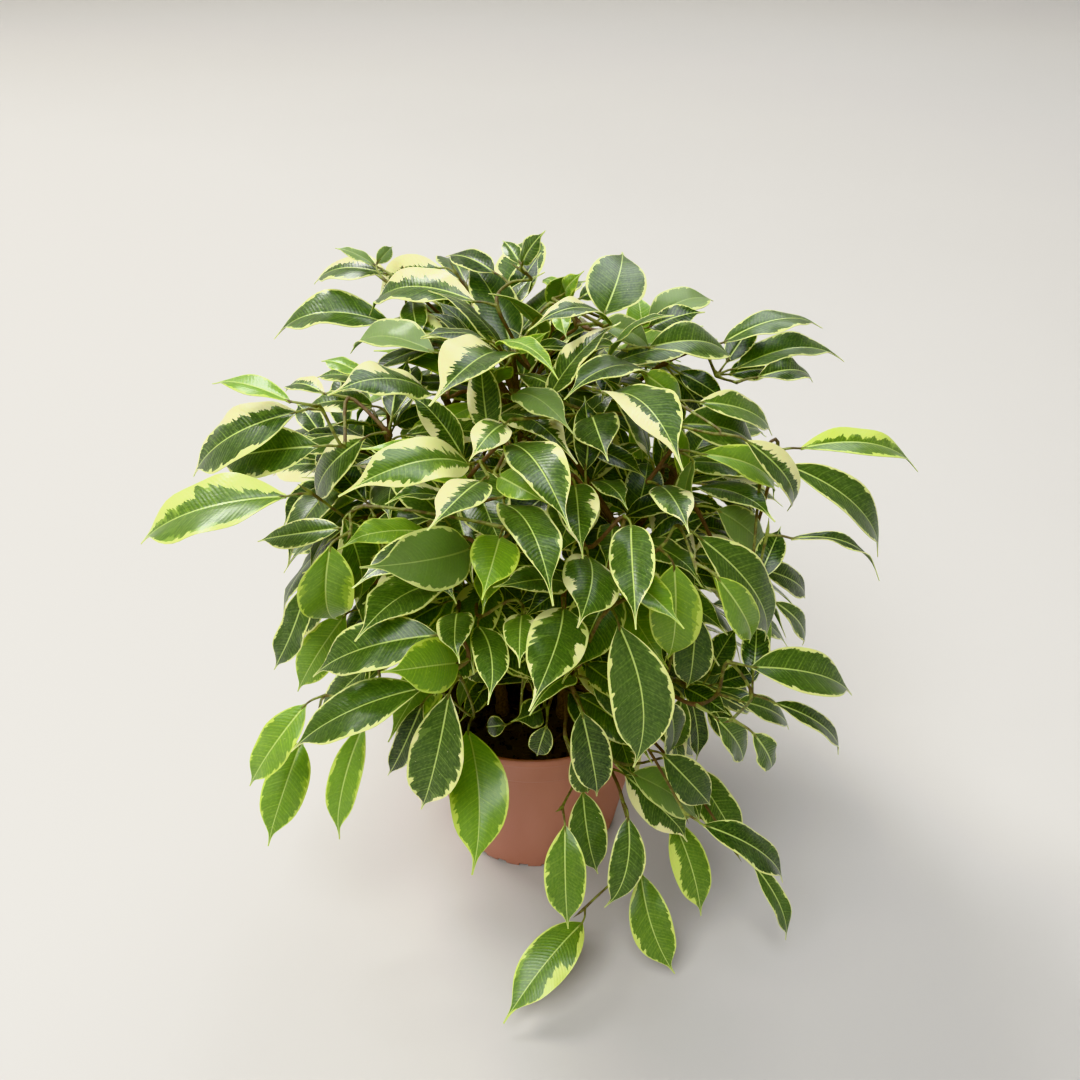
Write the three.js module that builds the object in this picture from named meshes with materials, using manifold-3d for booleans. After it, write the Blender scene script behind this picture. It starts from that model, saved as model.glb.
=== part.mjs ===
// A weeping fig with cream-edged leaves in a 12 cm nursery pot.
// Millimetres, +Z up, the origin at the centre of the pot's underside. The side seen in the photograph faces -Y.
import * as THREE from "three";
import { mergeVertices } from "three/addons/utils/BufferGeometryUtils.js";
import Module from "manifold-3d";

const wasm = await Module();
wasm.setup();

// Pot: a thin moulded shell with a band under its lip, a foot ring with notches and a raised floor with drain holes.
const POT_HEIGHT = 92;
const POT_LIP_RADIUS = 60;
const POT_FOOT_RADIUS = 43;
const POT_WALL = 1.8;
const POT_SIDES = 32;
const BAND_HEIGHT = 17;
const BAND_STEP = 0.9;
const FLOOR_LIFT = 3;
const FLOOR_TOP = 5;
const FOOT_WIDTH = 4.5;
const BOSS_RADIUS = 12;
const NOTCHES = 24;
const NOTCH_WIDTH = 4.5;
const NOTCH_HEIGHT = 2.2;
const DRAINS = 6;
const DRAIN_RADIUS = 4;
const DRAIN_RING = 25;

// Soil: it fills the pot, and each stem stands in a plain hole in it. Its surface sinks towards the pot's wall: each
// pair of the profile is a share of its radius and the share of the rise by which it lies lower there.
const GAP = 0.3;
const SOIL_TOP = 81;
const SOIL_RISE = 3.5;
const SOIL_PROFILE = [[1, 1], [0.72, 0.4], [0.4, 0]];
const STEM_FOOT = 62;
const STEM_RADIUS = 3.1;
const STEM_TOP_RADIUS = 1.5;

// Stems: where each leaves the soil, and where it ends in the crown.
const STEMS = [
  { name: "leafy_stem_centre", foot: [-1, 3], top: [-6, 10, 232] },
  { name: "leafy_stem_front_left", foot: [-15, -15], top: [-46, -42, 196] },
  { name: "leafy_stem_front_right", foot: [14, -17], top: [44, -46, 192] },
  { name: "leafy_stem_right", foot: [23, 2], top: [64, 2, 206] },
  { name: "leafy_stem_back_right", foot: [14, 20], top: [38, 52, 212] },
  { name: "leafy_stem_back_left", foot: [-13, 21], top: [-40, 50, 214] },
  { name: "leafy_stem_left", foot: [-23, 3], top: [-62, -2, 206] },
];

// Crown: the rounded surface that most leaves grow out of. Layer 1 is its outside, and 0 its centre. Its lower half,
// the skirt, hangs deeper than its dome is high.
const CROWN_CENTRE = new THREE.Vector3(0, 0, 175);
const CROWN_RADII = new THREE.Vector3(114, 102, 106);
const SKIRT_RADII = new THREE.Vector3(114, 102, 150);

// Leaf: its outline as pairs of place along the midrib and share of the half width.
const OUTLINE = [
  [0, 0.06],
  [0.05, 0.36],
  [0.14, 0.7],
  [0.28, 0.95],
  [0.42, 1],
  [0.56, 0.91],
  [0.7, 0.66],
  [0.8, 0.38],
  [0.88, 0.16],
  [0.95, 0.07],
  [1, 0],
];
const LEAF_LENGTH = 48;
const LEAF_WIDTH = 19;
const LEAF_ARCH = 0.1;
const LEAF_FOLD = 0.1;
const RIB_DEPTH = 1.2;
const PETIOLE_LENGTH = 9;
const PETIOLE_RADIUS = 0.65;
const NODE_HALF = 1.3;
const TWIG_RADIUS = 1.4;
const TWIG_TIP_RADIUS = 1;
const TWIG_SIDES = 3;

// The photograph's viewpoint: the camera's place, how far it looks down and to the right, its focal length in pixels.
const EYE = new THREE.Vector3(0, -395, 443);
const LOOK_DOWN = THREE.MathUtils.degToRad(34.7);
const LOOK_RIGHT = THREE.MathUtils.degToRad(0.43);
const FOCAL_PX = 1080;
const CENTRE_PX = 540;

// Shoots in view. Each leaf says: base x, y and tip x, y in pixels, crown layer, length, width, roll in degrees, and
// how far its midrib arches up and sways aside, as hundredths of its length. A roll of 0 faces the viewpoint. The
// leaves of a shoot are listed outwards from its stem.
const SHOOTS_IN_VIEW = [
  { stem: 1, leaves: [
    [437, 635, 313, 676, 1.06, 53, 20, 28, 15, 0],
    [458, 663, 381, 673, 1.02, 41, 19, 0, 10, 0],
    [422, 688, 290, 751, 1.08, 54, 22, 40, 13, -2],
    [449, 694, 421, 811, 1.0, 53, 21, 8, 12, -4],
    [468, 731, 473, 875, 0.82, 53, 24, -4, 10, -5],
    [422, 704, 388, 776, 1.02, 43, 10, 20, 10, -5],
  ] },
  { stem: 1, leaves: [
    [471, 548, 362, 568, 1.08, 51, 21, 8, 10, -4],
    [500, 536, 482, 598, 1.12, 34, 16, 0, 10, 0],
    [344, 520, 358, 603, 1.06, 46, 20, -34, 12, 0],
    [330, 547, 336, 621, 1.12, 41, 20, -6, 14, 9],
  ] },
  { stem: 1, leaves: [
    [511, 444, 569, 530, 1.02, 51, 18, -26, 15, 0],
    [498, 476, 547, 503, 1.1, 29, 10, -10, 10, 0],
    [468, 464, 338, 495, 1.1, 56, 19, 34, 14, 0],
    [481, 481, 429, 529, 1.12, 43, 14, 34, 8, -4],
    [505, 505, 553, 604, 1.08, 53, 18, -34, 15, 0],
  ] },
  { stem: 1, leaves: [
    [478, 626, 490, 704, 0.94, 41, 13, -12, 10, -6],
    [522, 614, 519, 668, 0.9, 36, 12, 0, 10, 0],
    [505, 725, 486, 727, 0.72, 15, 9, 0, 10, 0],
  ] },
  { stem: 6, leaves: [
    [364, 438, 318, 504, 1.0, 46, 17, 46, 13, 0],
    [324, 393, 285, 391, 1.1, 28, 10, 58, 14, 0],
    [318, 446, 218, 463, 1.16, 53, 19, 18, 10, 0],
    [296, 412, 193, 477, 1.26, 54, 24, 48, 13, 0],
    [290, 401, 211, 382, 1.3, 40, 9, 45, 7, 0],
  ] },
  { stem: 6, leaves: [
    [338, 528, 258, 540, 0.96, 43, 12, 30, 8, -3],
    [286, 496, 140, 544, 1.3, 61, 26, 45, 15, -4],
  ] },
  { stem: 6, leaves: [
    [326, 600, 290, 638, 1.04, 36, 14, 30, 10, 0],
    [308, 583, 272, 670, 1.06, 46, 12, 25, 8, -7],
    [345, 615, 298, 692, 1.08, 47, 17, 10, 10, 0],
    [364, 724, 337, 840, 1.05, 50, 13, 10, 8, 4],
    [305, 705, 249, 788, 1.12, 48, 16, 22, 10, 0],
    [301, 742, 267, 846, 1.15, 49, 19, 5, 10, 0],
  ] },
  { stem: 0, leaves: [
    [431, 394, 328, 392, 1.0, 51, 18, 52, 12, 0],
    [434, 352, 350, 354, 0.98, 46, 18, 56, 18, 0],
    [392, 325, 273, 338, 1.06, 55, 21, 50, 20, 0],
    [387, 274, 314, 284, 1.0, 43, 16, 56, 14, 0],
  ] },
  { stem: 0, leaves: [
    [503, 355, 429, 405, 1.0, 50, 24, 46, 17, -8],
    [512, 352, 463, 259, 1.02, 51, 18, 12, 10, 6],
    [496, 343, 560, 379, 1.1, 36, 9, -52, 14, 0],
    [474, 301, 368, 312, 1.0, 56, 20, 52, 18, 0],
    [440, 268, 378, 302, 1.0, 38, 18, 40, 16, 0],
    [494, 272, 446, 256, 0.96, 30, 12, 45, 10, 0],
    [521, 264, 503, 240, 1.0, 17, 7, 20, 8, 0],
    [522, 264, 545, 231, 1.0, 20, 8, -30, 8, 0],
  ] },
  { stem: 0, leaves: [
    [564, 293, 542, 279, 0.96, 22, 7, 40, 10, 0],
    [604, 314, 622, 251, 1.0, 46, 24, 0, 8, 2],
    [611, 323, 527, 329, 1.02, 48, 11, 58, 15, 0],
    [565, 293, 583, 272, 0.98, 22, 7, -30, 10, 0],
    [648, 322, 714, 301, 1.0, 41, 18, -48, 14, 0],
    [650, 347, 731, 361, 1.06, 46, 18, -50, 16, 0],
  ] },
  { stem: 2, leaves: [
    [514, 394, 573, 433, 0.92, 39, 13, -34, 14, 0],
    [592, 416, 608, 461, 0.9, 34, 17, 0, 10, 0],
    [494, 418, 577, 464, 1.0, 49, 18, -44, 18, 0],
    [505, 424, 470, 460, 1.06, 31, 12, 20, 10, 0],
    [606, 394, 683, 469, 1.04, 54, 21, -44, 17, 0],
    [646, 371, 563, 398, 1.0, 48, 17, 56, 13, 0],
    [643, 373, 682, 410, 1.1, 31, 12, -24, 10, 0],
    [633, 420, 643, 462, 0.98, 28, 9, -20, 10, 0],
  ] },
  { stem: 2, leaves: [
    [575, 485, 581, 558, 0.94, 41, 15, 0, 10, 0],
    [588, 556, 577, 626, 1.06, 39, 20, -16, 10, -4],
    [631, 525, 637, 628, 1.0, 48, 15, 0, 10, 0],
    [620, 581, 683, 629, 1.14, 38, 14, -34, 14, 0],
    [674, 566, 667, 661, 1.08, 48, 19, 0, 10, -4],
    [699, 537, 766, 640, 1.12, 58, 20, -38, 16, 0],
    [717, 577, 751, 642, 1.2, 41, 13, -30, 12, 0],
  ] },
  { stem: 2, leaves: [
    [563, 608, 529, 709, 1.0, 49, 20, 8, 10, -4],
    [574, 676, 529, 715, 0.98, 36, 11, 45, 10, 0],
    [619, 626, 633, 768, 1.18, 56, 22, 0, 8, -9],
    [696, 615, 688, 689, 1.02, 41, 15, -6, 10, 0],
    [682, 696, 674, 750, 0.98, 36, 11, 0, 10, 0],
    [689, 691, 696, 762, 0.96, 41, 10, -30, 10, 0],
  ] },
  { stem: 2, leaves: [
    [582, 713, 598, 798, 0.98, 44, 16, -6, 10, 0],
    [633, 774, 698, 822, 1.0, 43, 18, -30, 12, 0],
    [692, 768, 744, 856, 1.05, 48, 19, -28, 12, 3],
    [672, 818, 701, 917, 1.1, 48, 17, -14, 10, -2],
    [704, 825, 784, 881, 1.2, 48, 15, -38, 15, 0],
    [753, 864, 787, 941, 1.3, 46, 10, -34, 10, -3],
  ] },
  { stem: 2, leaves: [
    [574, 755, 588, 794, 0.95, 29, 12, -10, 10, 0],
    [583, 793, 599, 875, 1.0, 44, 17, -8, 10, 4],
    [565, 826, 568, 929, 1.1, 44, 17, 0, 10, 2],
  ] },
  { stem: 2, leaves: [
    [628, 818, 606, 908, 1.1, 43, 15, -8, 10, -8],
    [641, 874, 675, 974, 1.2, 48, 19, -6, 8, 7],
    [582, 923, 504, 1024, 1.3, 51, 21, 14, 10, 0],
  ] },
  { stem: 2, leaves: [
    [546, 727, 537, 757, 0.8, 20, 10, 0, 10, 0],
    [541, 709, 512, 722, 0.7, 24, 12, 0, 10, 0],
  ] },
  { stem: 3, leaves: [
    [660, 486, 690, 532, 0.96, 36, 14, -30, 10, 0],
    [693, 461, 690, 532, 0.98, 41, 9, 50, 10, 0],
    [702, 454, 775, 498, 1.1, 49, 14, -48, 16, 0],
    [681, 424, 756, 457, 1.02, 49, 19, -44, 16, 0],
    [747, 441, 790, 512, 1.1, 47, 13, -46, 16, 0],
    [700, 402, 773, 433, 1.04, 43, 14, -48, 12, 0],
  ] },
  { stem: 3, leaves: [
    [718, 510, 766, 555, 1.0, 39, 15, -30, 10, 0],
    [761, 569, 806, 597, 1.0, 38, 13, -40, 12, 0],
    [801, 448, 918, 469, 1.24, 57, 15, -50, 15, 0],
    [787, 465, 881, 556, 1.2, 62, 18, -48, 15, 0],
    [775, 602, 803, 645, 1.06, 38, 9, -48, 12, 0],
    [792, 538, 881, 579, 1.14, 48, 7, -66, 16, 0],
  ] },
  { stem: 3, leaves: [
    [716, 718, 742, 762, 1.1, 36, 12, -34, 10, 0],
    [740, 701, 789, 729, 1.14, 38, 11, -44, 12, 0],
    [752, 667, 852, 694, 1.22, 51, 19, -34, 14, 0],
    [775, 703, 841, 755, 1.26, 48, 10, -50, 13, 0],
    [754, 734, 770, 771, 1.24, 31, 10, -34, 10, 0],
  ] },
  { stem: 4, leaves: [
    [724, 342, 822, 325, 1.06, 51, 15, -54, 13, 0],
    [737, 368, 845, 362, 1.12, 54, 17, -54, 17, 0],
    [758, 377, 813, 381, 1.04, 39, 12, -48, 14, 0],
  ] },
  { stem: 0, leaves: [
    [444, 338, 394, 318, 0.94, 28, 12, 40, 12, 0],
    [376, 266, 335, 248, 1.0, 19, 6, 45, 10, 0],
    [377, 263, 393, 246, 1.0, 12, 6, 0, 8, 0],
  ] },
  { stem: 0, leaves: [
    [600, 325, 651, 352, 1.04, 27, 14, -48, 16, 0],
    [559, 309, 566, 338, 1.06, 15, 7, 0, 8, 0],
    [516, 352, 550, 331, 1.06, 20, 5, 0, 10, 0],
  ] },
  { stem: 6, leaves: [
    [362, 374, 321, 361, 1.0, 20, 8, 45, 10, 0],
  ] },
];

// The crown's outline in the photograph, clockwise from the top left. Leaves placed by rule stay inside it.
const CROWN_OUTLINE = [
  [345, 250], [450, 240], [545, 236], [640, 258], [712, 300], [800, 325], [800, 420], [790, 500],
  [800, 600], [800, 690], [770, 760], [700, 850], [600, 800], [600, 700], [500, 690], [430, 760],
  [330, 790], [280, 730], [276, 640], [262, 545], [300, 500], [225, 450], [300, 400], [320, 330],
];

// Facets: how many sides or stretches each round or curved form has, and the shortest edge that is kept.
const STEM_STEPS = 5;
const STEM_SIDES = 6;
const ARCH_STEPS = 5;
const DRAIN_SIDES = 6;
const SOIL_SIDES = 24;
const SMALLEST_EDGE = 0.05;
const WELD = 1e-4;

// Growth: how shoots leave their stems. A twig tries several arches, and a leaf in view several layers of the crown.
const SHOOT_RISE = 0.5;
const SHOOT_LOWEST = 102;
const SHOOT_BELOW_TOP = 4;
const LAYER_SHIFTS = [0, -0.04, 0.04, -0.08, 0.08, -0.12, 0.12, -0.17, 0.17, -0.22, -0.28];
const TWIG_ARCHES = [0.16, 0.3, 0.04, 0.44, -0.08];
const STRANGER_COST = 10000;
const OWN_COST = 1000;
const RINGS_IN_VIEW = [0.18, 0.45, 0.74];
const RINGS_BY_RULE = [0.28, 0.66];
const PETIOLE_WAY = { along: 0.45, out: 0.6, up: 0.3 };
const ROOT_PULL = 0.5;

// Growth by rule: shoots turn about the crown by the golden angle, from its top down. The leaves draw their size and
// direction at random, and keep the best of a few trials.
const RULE_SHOOTS = 134;
const RULE_SPAN = 1.5;
const GOLDEN_ANGLE = 2.399963;
const SEED_START = 777;
const SEED_STEP = 7919;
const FRONT_SHARE = 0.35;
const FRONT_LAYER = 0.42;
const BACK_LAYER = 0.6;
const LAYER_SPREAD = 0.3;
const LEAF_TRIALS = 14;
const LENGTH_SHARES = [0.8, 1.1];
const WIDTH_SHARES = [0.85, 1.15];
const SPREAD_ASIDE = 0.9;
const SPREAD_AT_END = 0.25;
const SPREAD_PLAY = 0.5;
const DROOPS = [0.15, 0.95];
const ONWARDS = 0.5;
const OUTWARDS = 0.4;
const FACING_UP = 0.8;
const FACING_OUT = 0.6;
const FACING_PLAY = 0.5;
const PETIOLE_RISE = 0.5;
const LOWEST_BY_RULE = 60;
const CROSSINGS_ALLOWED = 1;
const FEWEST_LEAVES = 3;

const POT_COLOUR = 0xa0624f;
const SOIL_COLOUR = 0x2b211b;
const LEAF_COLOUR = 0x3f6b2c;

const UP = new THREE.Vector3(0, 0, 1);
// A direction that no stem or twig runs along.
const ASKEW = new THREE.Vector3(0.36, 0.48, 0.8);
const point = (x, y, z) => new THREE.Vector3(x, y, z);
const mix = (a, b, t) => a.clone().lerp(b, t);
const unit = (...parts) =>
  parts.reduce((all, [v, share]) => all.addScaledVector(v, share), point(0, 0, 0)).normalize();
const outwards = (p) => unit([point(p.x, p.y, 0), 1]);
const between = ([low, high], share) => low + (high - low) * share;

// Random draws between 0 and 1, the same for a seed each time.
function dice(seed) {
  let state = seed;
  return () => {
    state = (state * 16807) % 2147483647;
    return state / 2147483647;
  };
}

// The half width of a leaf at u along its midrib, from 0 at the base to 1 at the tip, as a share of the widest.
function outlineAt(u) {
  const i = Math.max(1, OUTLINE.findIndex(([place]) => u <= place));
  const [u0, w0] = OUTLINE[i - 1];
  const [u1, w1] = OUTLINE[i];
  return w0 + ((w1 - w0) * (u - u0)) / (u1 - u0);
}

// A point of a leaf: u along the midrib, v from -1 to 1 across it. The midrib arches and sways, and the halves of the
// blade fold up a little.
function leafPoint(leaf, u, v) {
  const across = outlineAt(u) * leaf.width * 0.5 * v;
  const bow = 4 * u * (1 - u) * leaf.base.distanceTo(leaf.tip);
  return mix(leaf.base, leaf.tip, u)
    .addScaledVector(leaf.side, across + bow * leaf.sway)
    .addScaledVector(leaf.normal, bow * leaf.arch + LEAF_FOLD * Math.abs(across));
}

function makeLeaf(node, base, tip, facing, width, rings, arch = LEAF_ARCH, sway = 0) {
  const along = unit([tip, 1], [base, -1]);
  const normal = unit([facing, 1], [along, -facing.dot(along)]);
  return { node, base, tip, normal, side: along.clone().cross(normal), width, rings, arch, sway };
}

// The viewpoint's own directions.
const AHEAD = point(
  Math.sin(LOOK_RIGHT) * Math.cos(LOOK_DOWN),
  Math.cos(LOOK_RIGHT) * Math.cos(LOOK_DOWN),
  -Math.sin(LOOK_DOWN),
);
const RIGHT = point(Math.cos(LOOK_RIGHT), -Math.sin(LOOK_RIGHT), 0);
const ABOVE = RIGHT.clone().cross(AHEAD);
const sight = (x, y) => unit([AHEAD, FOCAL_PX], [RIGHT, x - CENTRE_PX], [ABOVE, CENTRE_PX - y]);

function pixelOf(p) {
  const seen = p.clone().sub(EYE);
  const scale = FOCAL_PX / seen.dot(AHEAD);
  return [CENTRE_PX + scale * seen.dot(RIGHT), CENTRE_PX - scale * seen.dot(ABOVE)];
}

// Where a line of sight meets a layer of the crown, or passes it closest.
function onLayer(direction, layer) {
  const place = onEllipsoid(direction, layer, CROWN_RADII);
  return place.z > CROWN_CENTRE.z ? place : onEllipsoid(direction, layer, SKIRT_RADII);
}

function onEllipsoid(direction, layer, radii) {
  const from = EYE.clone().sub(CROWN_CENTRE).divide(radii);
  const way = direction.clone().divide(radii);
  const a = way.dot(way);
  const b = from.dot(way);
  const room = b * b - a * (from.dot(from) - layer * layer);
  return EYE.clone().addScaledVector(direction, (-b - Math.sqrt(Math.max(room, 0))) / a);
}

// A leaf in view: its base on its layer of the crown, and its tip at its length from there on its own line of sight.
function leafInView([bx, by, tx, ty, layer, length, width, roll, arch, sway], shift) {
  const base = onLayer(sight(bx, by), layer + shift);
  const way = sight(tx, ty);
  const nearest = EYE.clone().addScaledVector(way, base.clone().sub(EYE).dot(way));
  const spare = Math.sqrt(Math.max(length * length - nearest.distanceToSquared(base), 0));
  const hang = unit([outwards(base), 1], [UP, -1]);
  const ends = [-spare, spare].map((d) => nearest.clone().addScaledVector(way, d));
  const tip = ends[0].dot(hang) > ends[1].dot(hang) ? ends[0] : ends[1];
  const along = unit([tip, 1], [base, -1]);
  const toEye = unit([EYE, 1], [base, -1]);
  const facing = unit([toEye, 1], [along, -toEye.dot(along)]);
  facing.applyAxisAngle(along, THREE.MathUtils.degToRad(roll));
  const rise = unit([along, PETIOLE_WAY.along], [outwards(base), PETIOLE_WAY.out], [UP, PETIOLE_WAY.up]);
  const node = base.clone().addScaledVector(rise, -PETIOLE_LENGTH);
  return makeLeaf(node, base, tip, facing, width, RINGS_IN_VIEW, arch / 100, sway / 100);
}

// The space round the plant in small cells: whose pieces lie in or beside each, and whether a blade lies in it.
const CELL = 2.5;
const REACH = 210;
const HEADROOM = 340;
const ROW = (2 * REACH) / CELL;
const COLUMN = HEADROOM / CELL;
const owners = new Uint16Array(ROW * ROW * COLUMN);
const blades = new Uint8Array(ROW * ROW * COLUMN);
const SAMPLE = 2;

function cellOf({ x, y, z }) {
  const i = Math.floor((x + REACH) / CELL);
  const j = Math.floor((y + REACH) / CELL);
  return (i * ROW + j) * COLUMN + Math.floor(z / CELL);
}

const cellsOf = (points) => [...new Set(points.map(cellOf))];
const strangers = (cells, owner) => cells.filter((c) => owners[c] & ~(1 << owner)).length;
const crossings = (cells) => cells.filter((c) => blades[c]).length;

// Cells within one cell of those given.
function widened(cells) {
  const steps = [-1, 0, 1];
  return cells.flatMap((c) =>
    steps.flatMap((i) => steps.flatMap((j) => steps.map((k) => c + (i * ROW + j) * COLUMN + k))),
  );
}

function claim(cells, owner) {
  for (const c of widened(cells)) owners[c] |= 1 << owner;
}

// Points along a way, close enough together that none of its cells is passed over.
function pointsAlong(way) {
  return way.slice(1).flatMap((to, i) => {
    const steps = Math.ceil(way[i].distanceTo(to) / SAMPLE);
    return Array.from({ length: steps + 1 }, (_, k) => mix(way[i], to, k / Math.max(steps, 1)));
  });
}

function pointsOver(leaf) {
  const rows = Math.ceil(leaf.base.distanceTo(leaf.tip) / SAMPLE);
  const found = [];
  for (let i = 1; i <= rows; i++) {
    const half = Math.max(1, Math.ceil((outlineAt(i / rows) * leaf.width * 0.5) / SAMPLE));
    for (let j = -half; j <= half; j++) found.push(leafPoint(leaf, i / rows, j / half));
  }
  return found;
}

// The pot's outer radius at a height.
const potRadius = (z) => POT_FOOT_RADIUS + ((POT_LIP_RADIUS - POT_FOOT_RADIUS) * z) / POT_HEIGHT;

// The pot and the soil keep their own space.
const POT_OWNER = STEMS.length;
function claimPot() {
  for (let z = 0; z < POT_HEIGHT + CELL; z += SAMPLE) {
    for (let r = z < SOIL_TOP ? potRadius(z) : potRadius(z) - POT_WALL; r <= potRadius(z) + 1; r += 1) {
      claim(cellsOf(ring(r, z)), POT_OWNER);
    }
  }
  for (let r = SAMPLE; r < potRadius(SOIL_TOP); r += SAMPLE) claim(cellsOf(ring(r, SOIL_TOP)), POT_OWNER);
}

function ring(radius, z) {
  const count = Math.ceil((2 * Math.PI * radius) / SAMPLE);
  return Array.from({ length: count }, (_, i) => {
    const turn = (2 * Math.PI * i) / count;
    return point(radius * Math.cos(turn), radius * Math.sin(turn), z);
  });
}

// A stem's middle line: upright out of the soil, then leaning out towards its top.
function stemPoint({ foot, top }, z) {
  const t = Math.max(0, (z - SOIL_TOP) / (top[2] - SOIL_TOP));
  return point(foot[0] + (top[0] - foot[0]) * t * t, foot[1] + (top[1] - foot[1]) * t * t, z);
}

const stemHeights = ({ top }) =>
  Array.from({ length: STEM_STEPS + 1 }, (_, i) => SOIL_TOP + ((top[2] - SOIL_TOP) * i) / STEM_STEPS);

// The place on a stem where a shoot that reaches a point leaves it.
function shootRoot(stem, reach) {
  const away = Math.hypot(reach.x - stem.top[0] * ROOT_PULL, reach.y - stem.top[1] * ROOT_PULL);
  const z = Math.min(Math.max(reach.z - SHOOT_RISE * away, SHOOT_LOWEST), stem.top[2] - SHOOT_BELOW_TOP);
  return stemPoint(stem, z);
}

// An arched way between two places, in a few straight stretches.
function archedWay(from, to, arch) {
  const crest = mix(from, to, 0.5).addScaledVector(UP, arch * from.distanceTo(to));
  return Array.from({ length: ARCH_STEPS + 1 }, (_, i) => {
    const t = i / ARCH_STEPS;
    return mix(mix(from, crest, t), mix(crest, to, t), t);
  });
}

const newShoot = (owner) => ({ owner, way: [], leaves: [], blades: new Set(), wood: new Set() });

// What a leaf and the twig that carries it would touch: other stems, its own shoot, and blades of any shoot.
function costOf(shoot, blade, twig) {
  const own = blade.filter((c) => shoot.blades.has(c) || shoot.wood.has(c)).length;
  const spoiled = twig.filter((c) => shoot.blades.has(c)).length;
  const alien = strangers(blade, shoot.owner) + strangers(twig, shoot.owner);
  return STRANGER_COST * alien + OWN_COST * (own + spoiled) + crossings(blade) + crossings(twig);
}

function keepLeaf(shoot, { leaf, blade, twig, way }) {
  shoot.way.push(...(shoot.way.length ? way.slice(1) : way));
  shoot.leaves.push({ ...leaf, place: shoot.way.length - 1 });
  claim(twig, shoot.owner);
  claim(blade, shoot.owner);
  for (const c of blade) blades[c] = 1;
  for (const c of widened(blade)) shoot.blades.add(c);
  for (const c of widened(cellsOf(pointsAlong(way)))) shoot.wood.add(c);
}

// The best place for the next leaf of a shoot: along its line of sight, and along one of the ways to it.
function bestLeaf(shoot, row) {
  let best = { cost: Infinity };
  for (const shift of LAYER_SHIFTS) {
    const leaf = leafInView(row, shift);
    const blade = cellsOf(pointsOver(leaf));
    const root = shootRoot(STEMS[shoot.owner], leaf.node);
    const straight = [shoot.way.at(-1), leaf.node];
    const ways = shoot.way.length ? [straight] : TWIG_ARCHES.map((arch) => archedWay(root, leaf.node, arch));
    for (const way of ways) {
      const twig = cellsOf(pointsAlong([...way, leaf.base]));
      const cost = costOf(shoot, blade, twig);
      if (cost < best.cost) best = { cost, leaf, blade, twig, way };
    }
  }
  return best;
}

// Grows the leaves of a shoot in view, from its stem out, and returns those that don't fit there.
function growShootInView(shoot, leaves) {
  return leaves.filter((row) => {
    const best = bestLeaf(shoot, row);
    if (best.cost < OWN_COST) keepLeaf(shoot, best);
    return best.cost >= OWN_COST;
  });
}

// A leaf that didn't fit on its shoot gets a twig of its own, from whichever stem has a free way to it.
function growLeafApart(row) {
  const shoots = STEMS.map((_, owner) => newShoot(owner));
  const found = shoots.map((shoot) => bestLeaf(shoot, row));
  const costs = found.map(({ cost }) => cost);
  const owner = costs.indexOf(Math.min(...costs));
  if (costs[owner] < OWN_COST) keepLeaf(shoots[owner], found[owner]);
  return shoots[owner];
}

function insideOutline([x, y]) {
  let inside = false;
  CROWN_OUTLINE.forEach(([x1, y1], i) => {
    const [x0, y0] = CROWN_OUTLINE.at(i - 1);
    if (y0 > y !== y1 > y && x < x0 + ((x1 - x0) * (y - y0)) / (y1 - y0)) inside = !inside;
  });
  return inside;
}

// The stem whose top lies nearest to a place.
function nearestStem(place) {
  const distances = STEMS.map(({ top }) => place.distanceTo(point(...top)));
  return distances.indexOf(Math.min(...distances));
}

// Grows a shoot by rule: it ends on an inner layer of the crown, and bears leaves by turns left and right.
function growShootByRule(index) {
  const draw = dice(index * SEED_STEP + SEED_START);
  draw();
  const rise = 1 - ((index + 0.5) / RULE_SHOOTS) * RULE_SPAN;
  const turn = index * GOLDEN_ANGLE + draw();
  const flat = Math.sqrt(1 - rise * rise);
  const direction = point(flat * Math.cos(turn), flat * Math.sin(turn), rise);
  const front = direction.dot(unit([EYE, 1], [CROWN_CENTRE, -1])) > FRONT_SHARE;
  const layer = (front ? FRONT_LAYER : BACK_LAYER) + LAYER_SPREAD * draw();
  const radii = rise > 0 ? CROWN_RADII : SKIRT_RADII;
  const end = CROWN_CENTRE.clone().add(direction.clone().multiply(radii).multiplyScalar(layer));
  const owner = nearestStem(end);
  const root = shootRoot(STEMS[owner], end);
  const ways = TWIG_ARCHES.map((arch) => archedWay(root, end, arch));
  const costs = ways.map((way) => {
    const cells = cellsOf(pointsAlong(way));
    return STRANGER_COST * strangers(cells, owner) + crossings(cells);
  });
  const shoot = newShoot(owner);
  if (Math.min(...costs) > CROSSINGS_ALLOWED) return shoot;
  shoot.way = ways[costs.indexOf(Math.min(...costs))];
  const wood = cellsOf(pointsAlong(shoot.way));
  for (const c of widened(wood)) shoot.wood.add(c);
  for (let place = shoot.way.length - 1; place > 0; place--) growLeafByRule(shoot, place, direction, draw);
  if (shoot.leaves.length < FEWEST_LEAVES) return newShoot(owner);
  claim(wood, owner);
  for (const { blade, twig } of shoot.leaves) {
    claim([...twig, ...blade], owner);
    for (const c of blade) blades[c] = 1;
  }
  return shoot;
}

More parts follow.
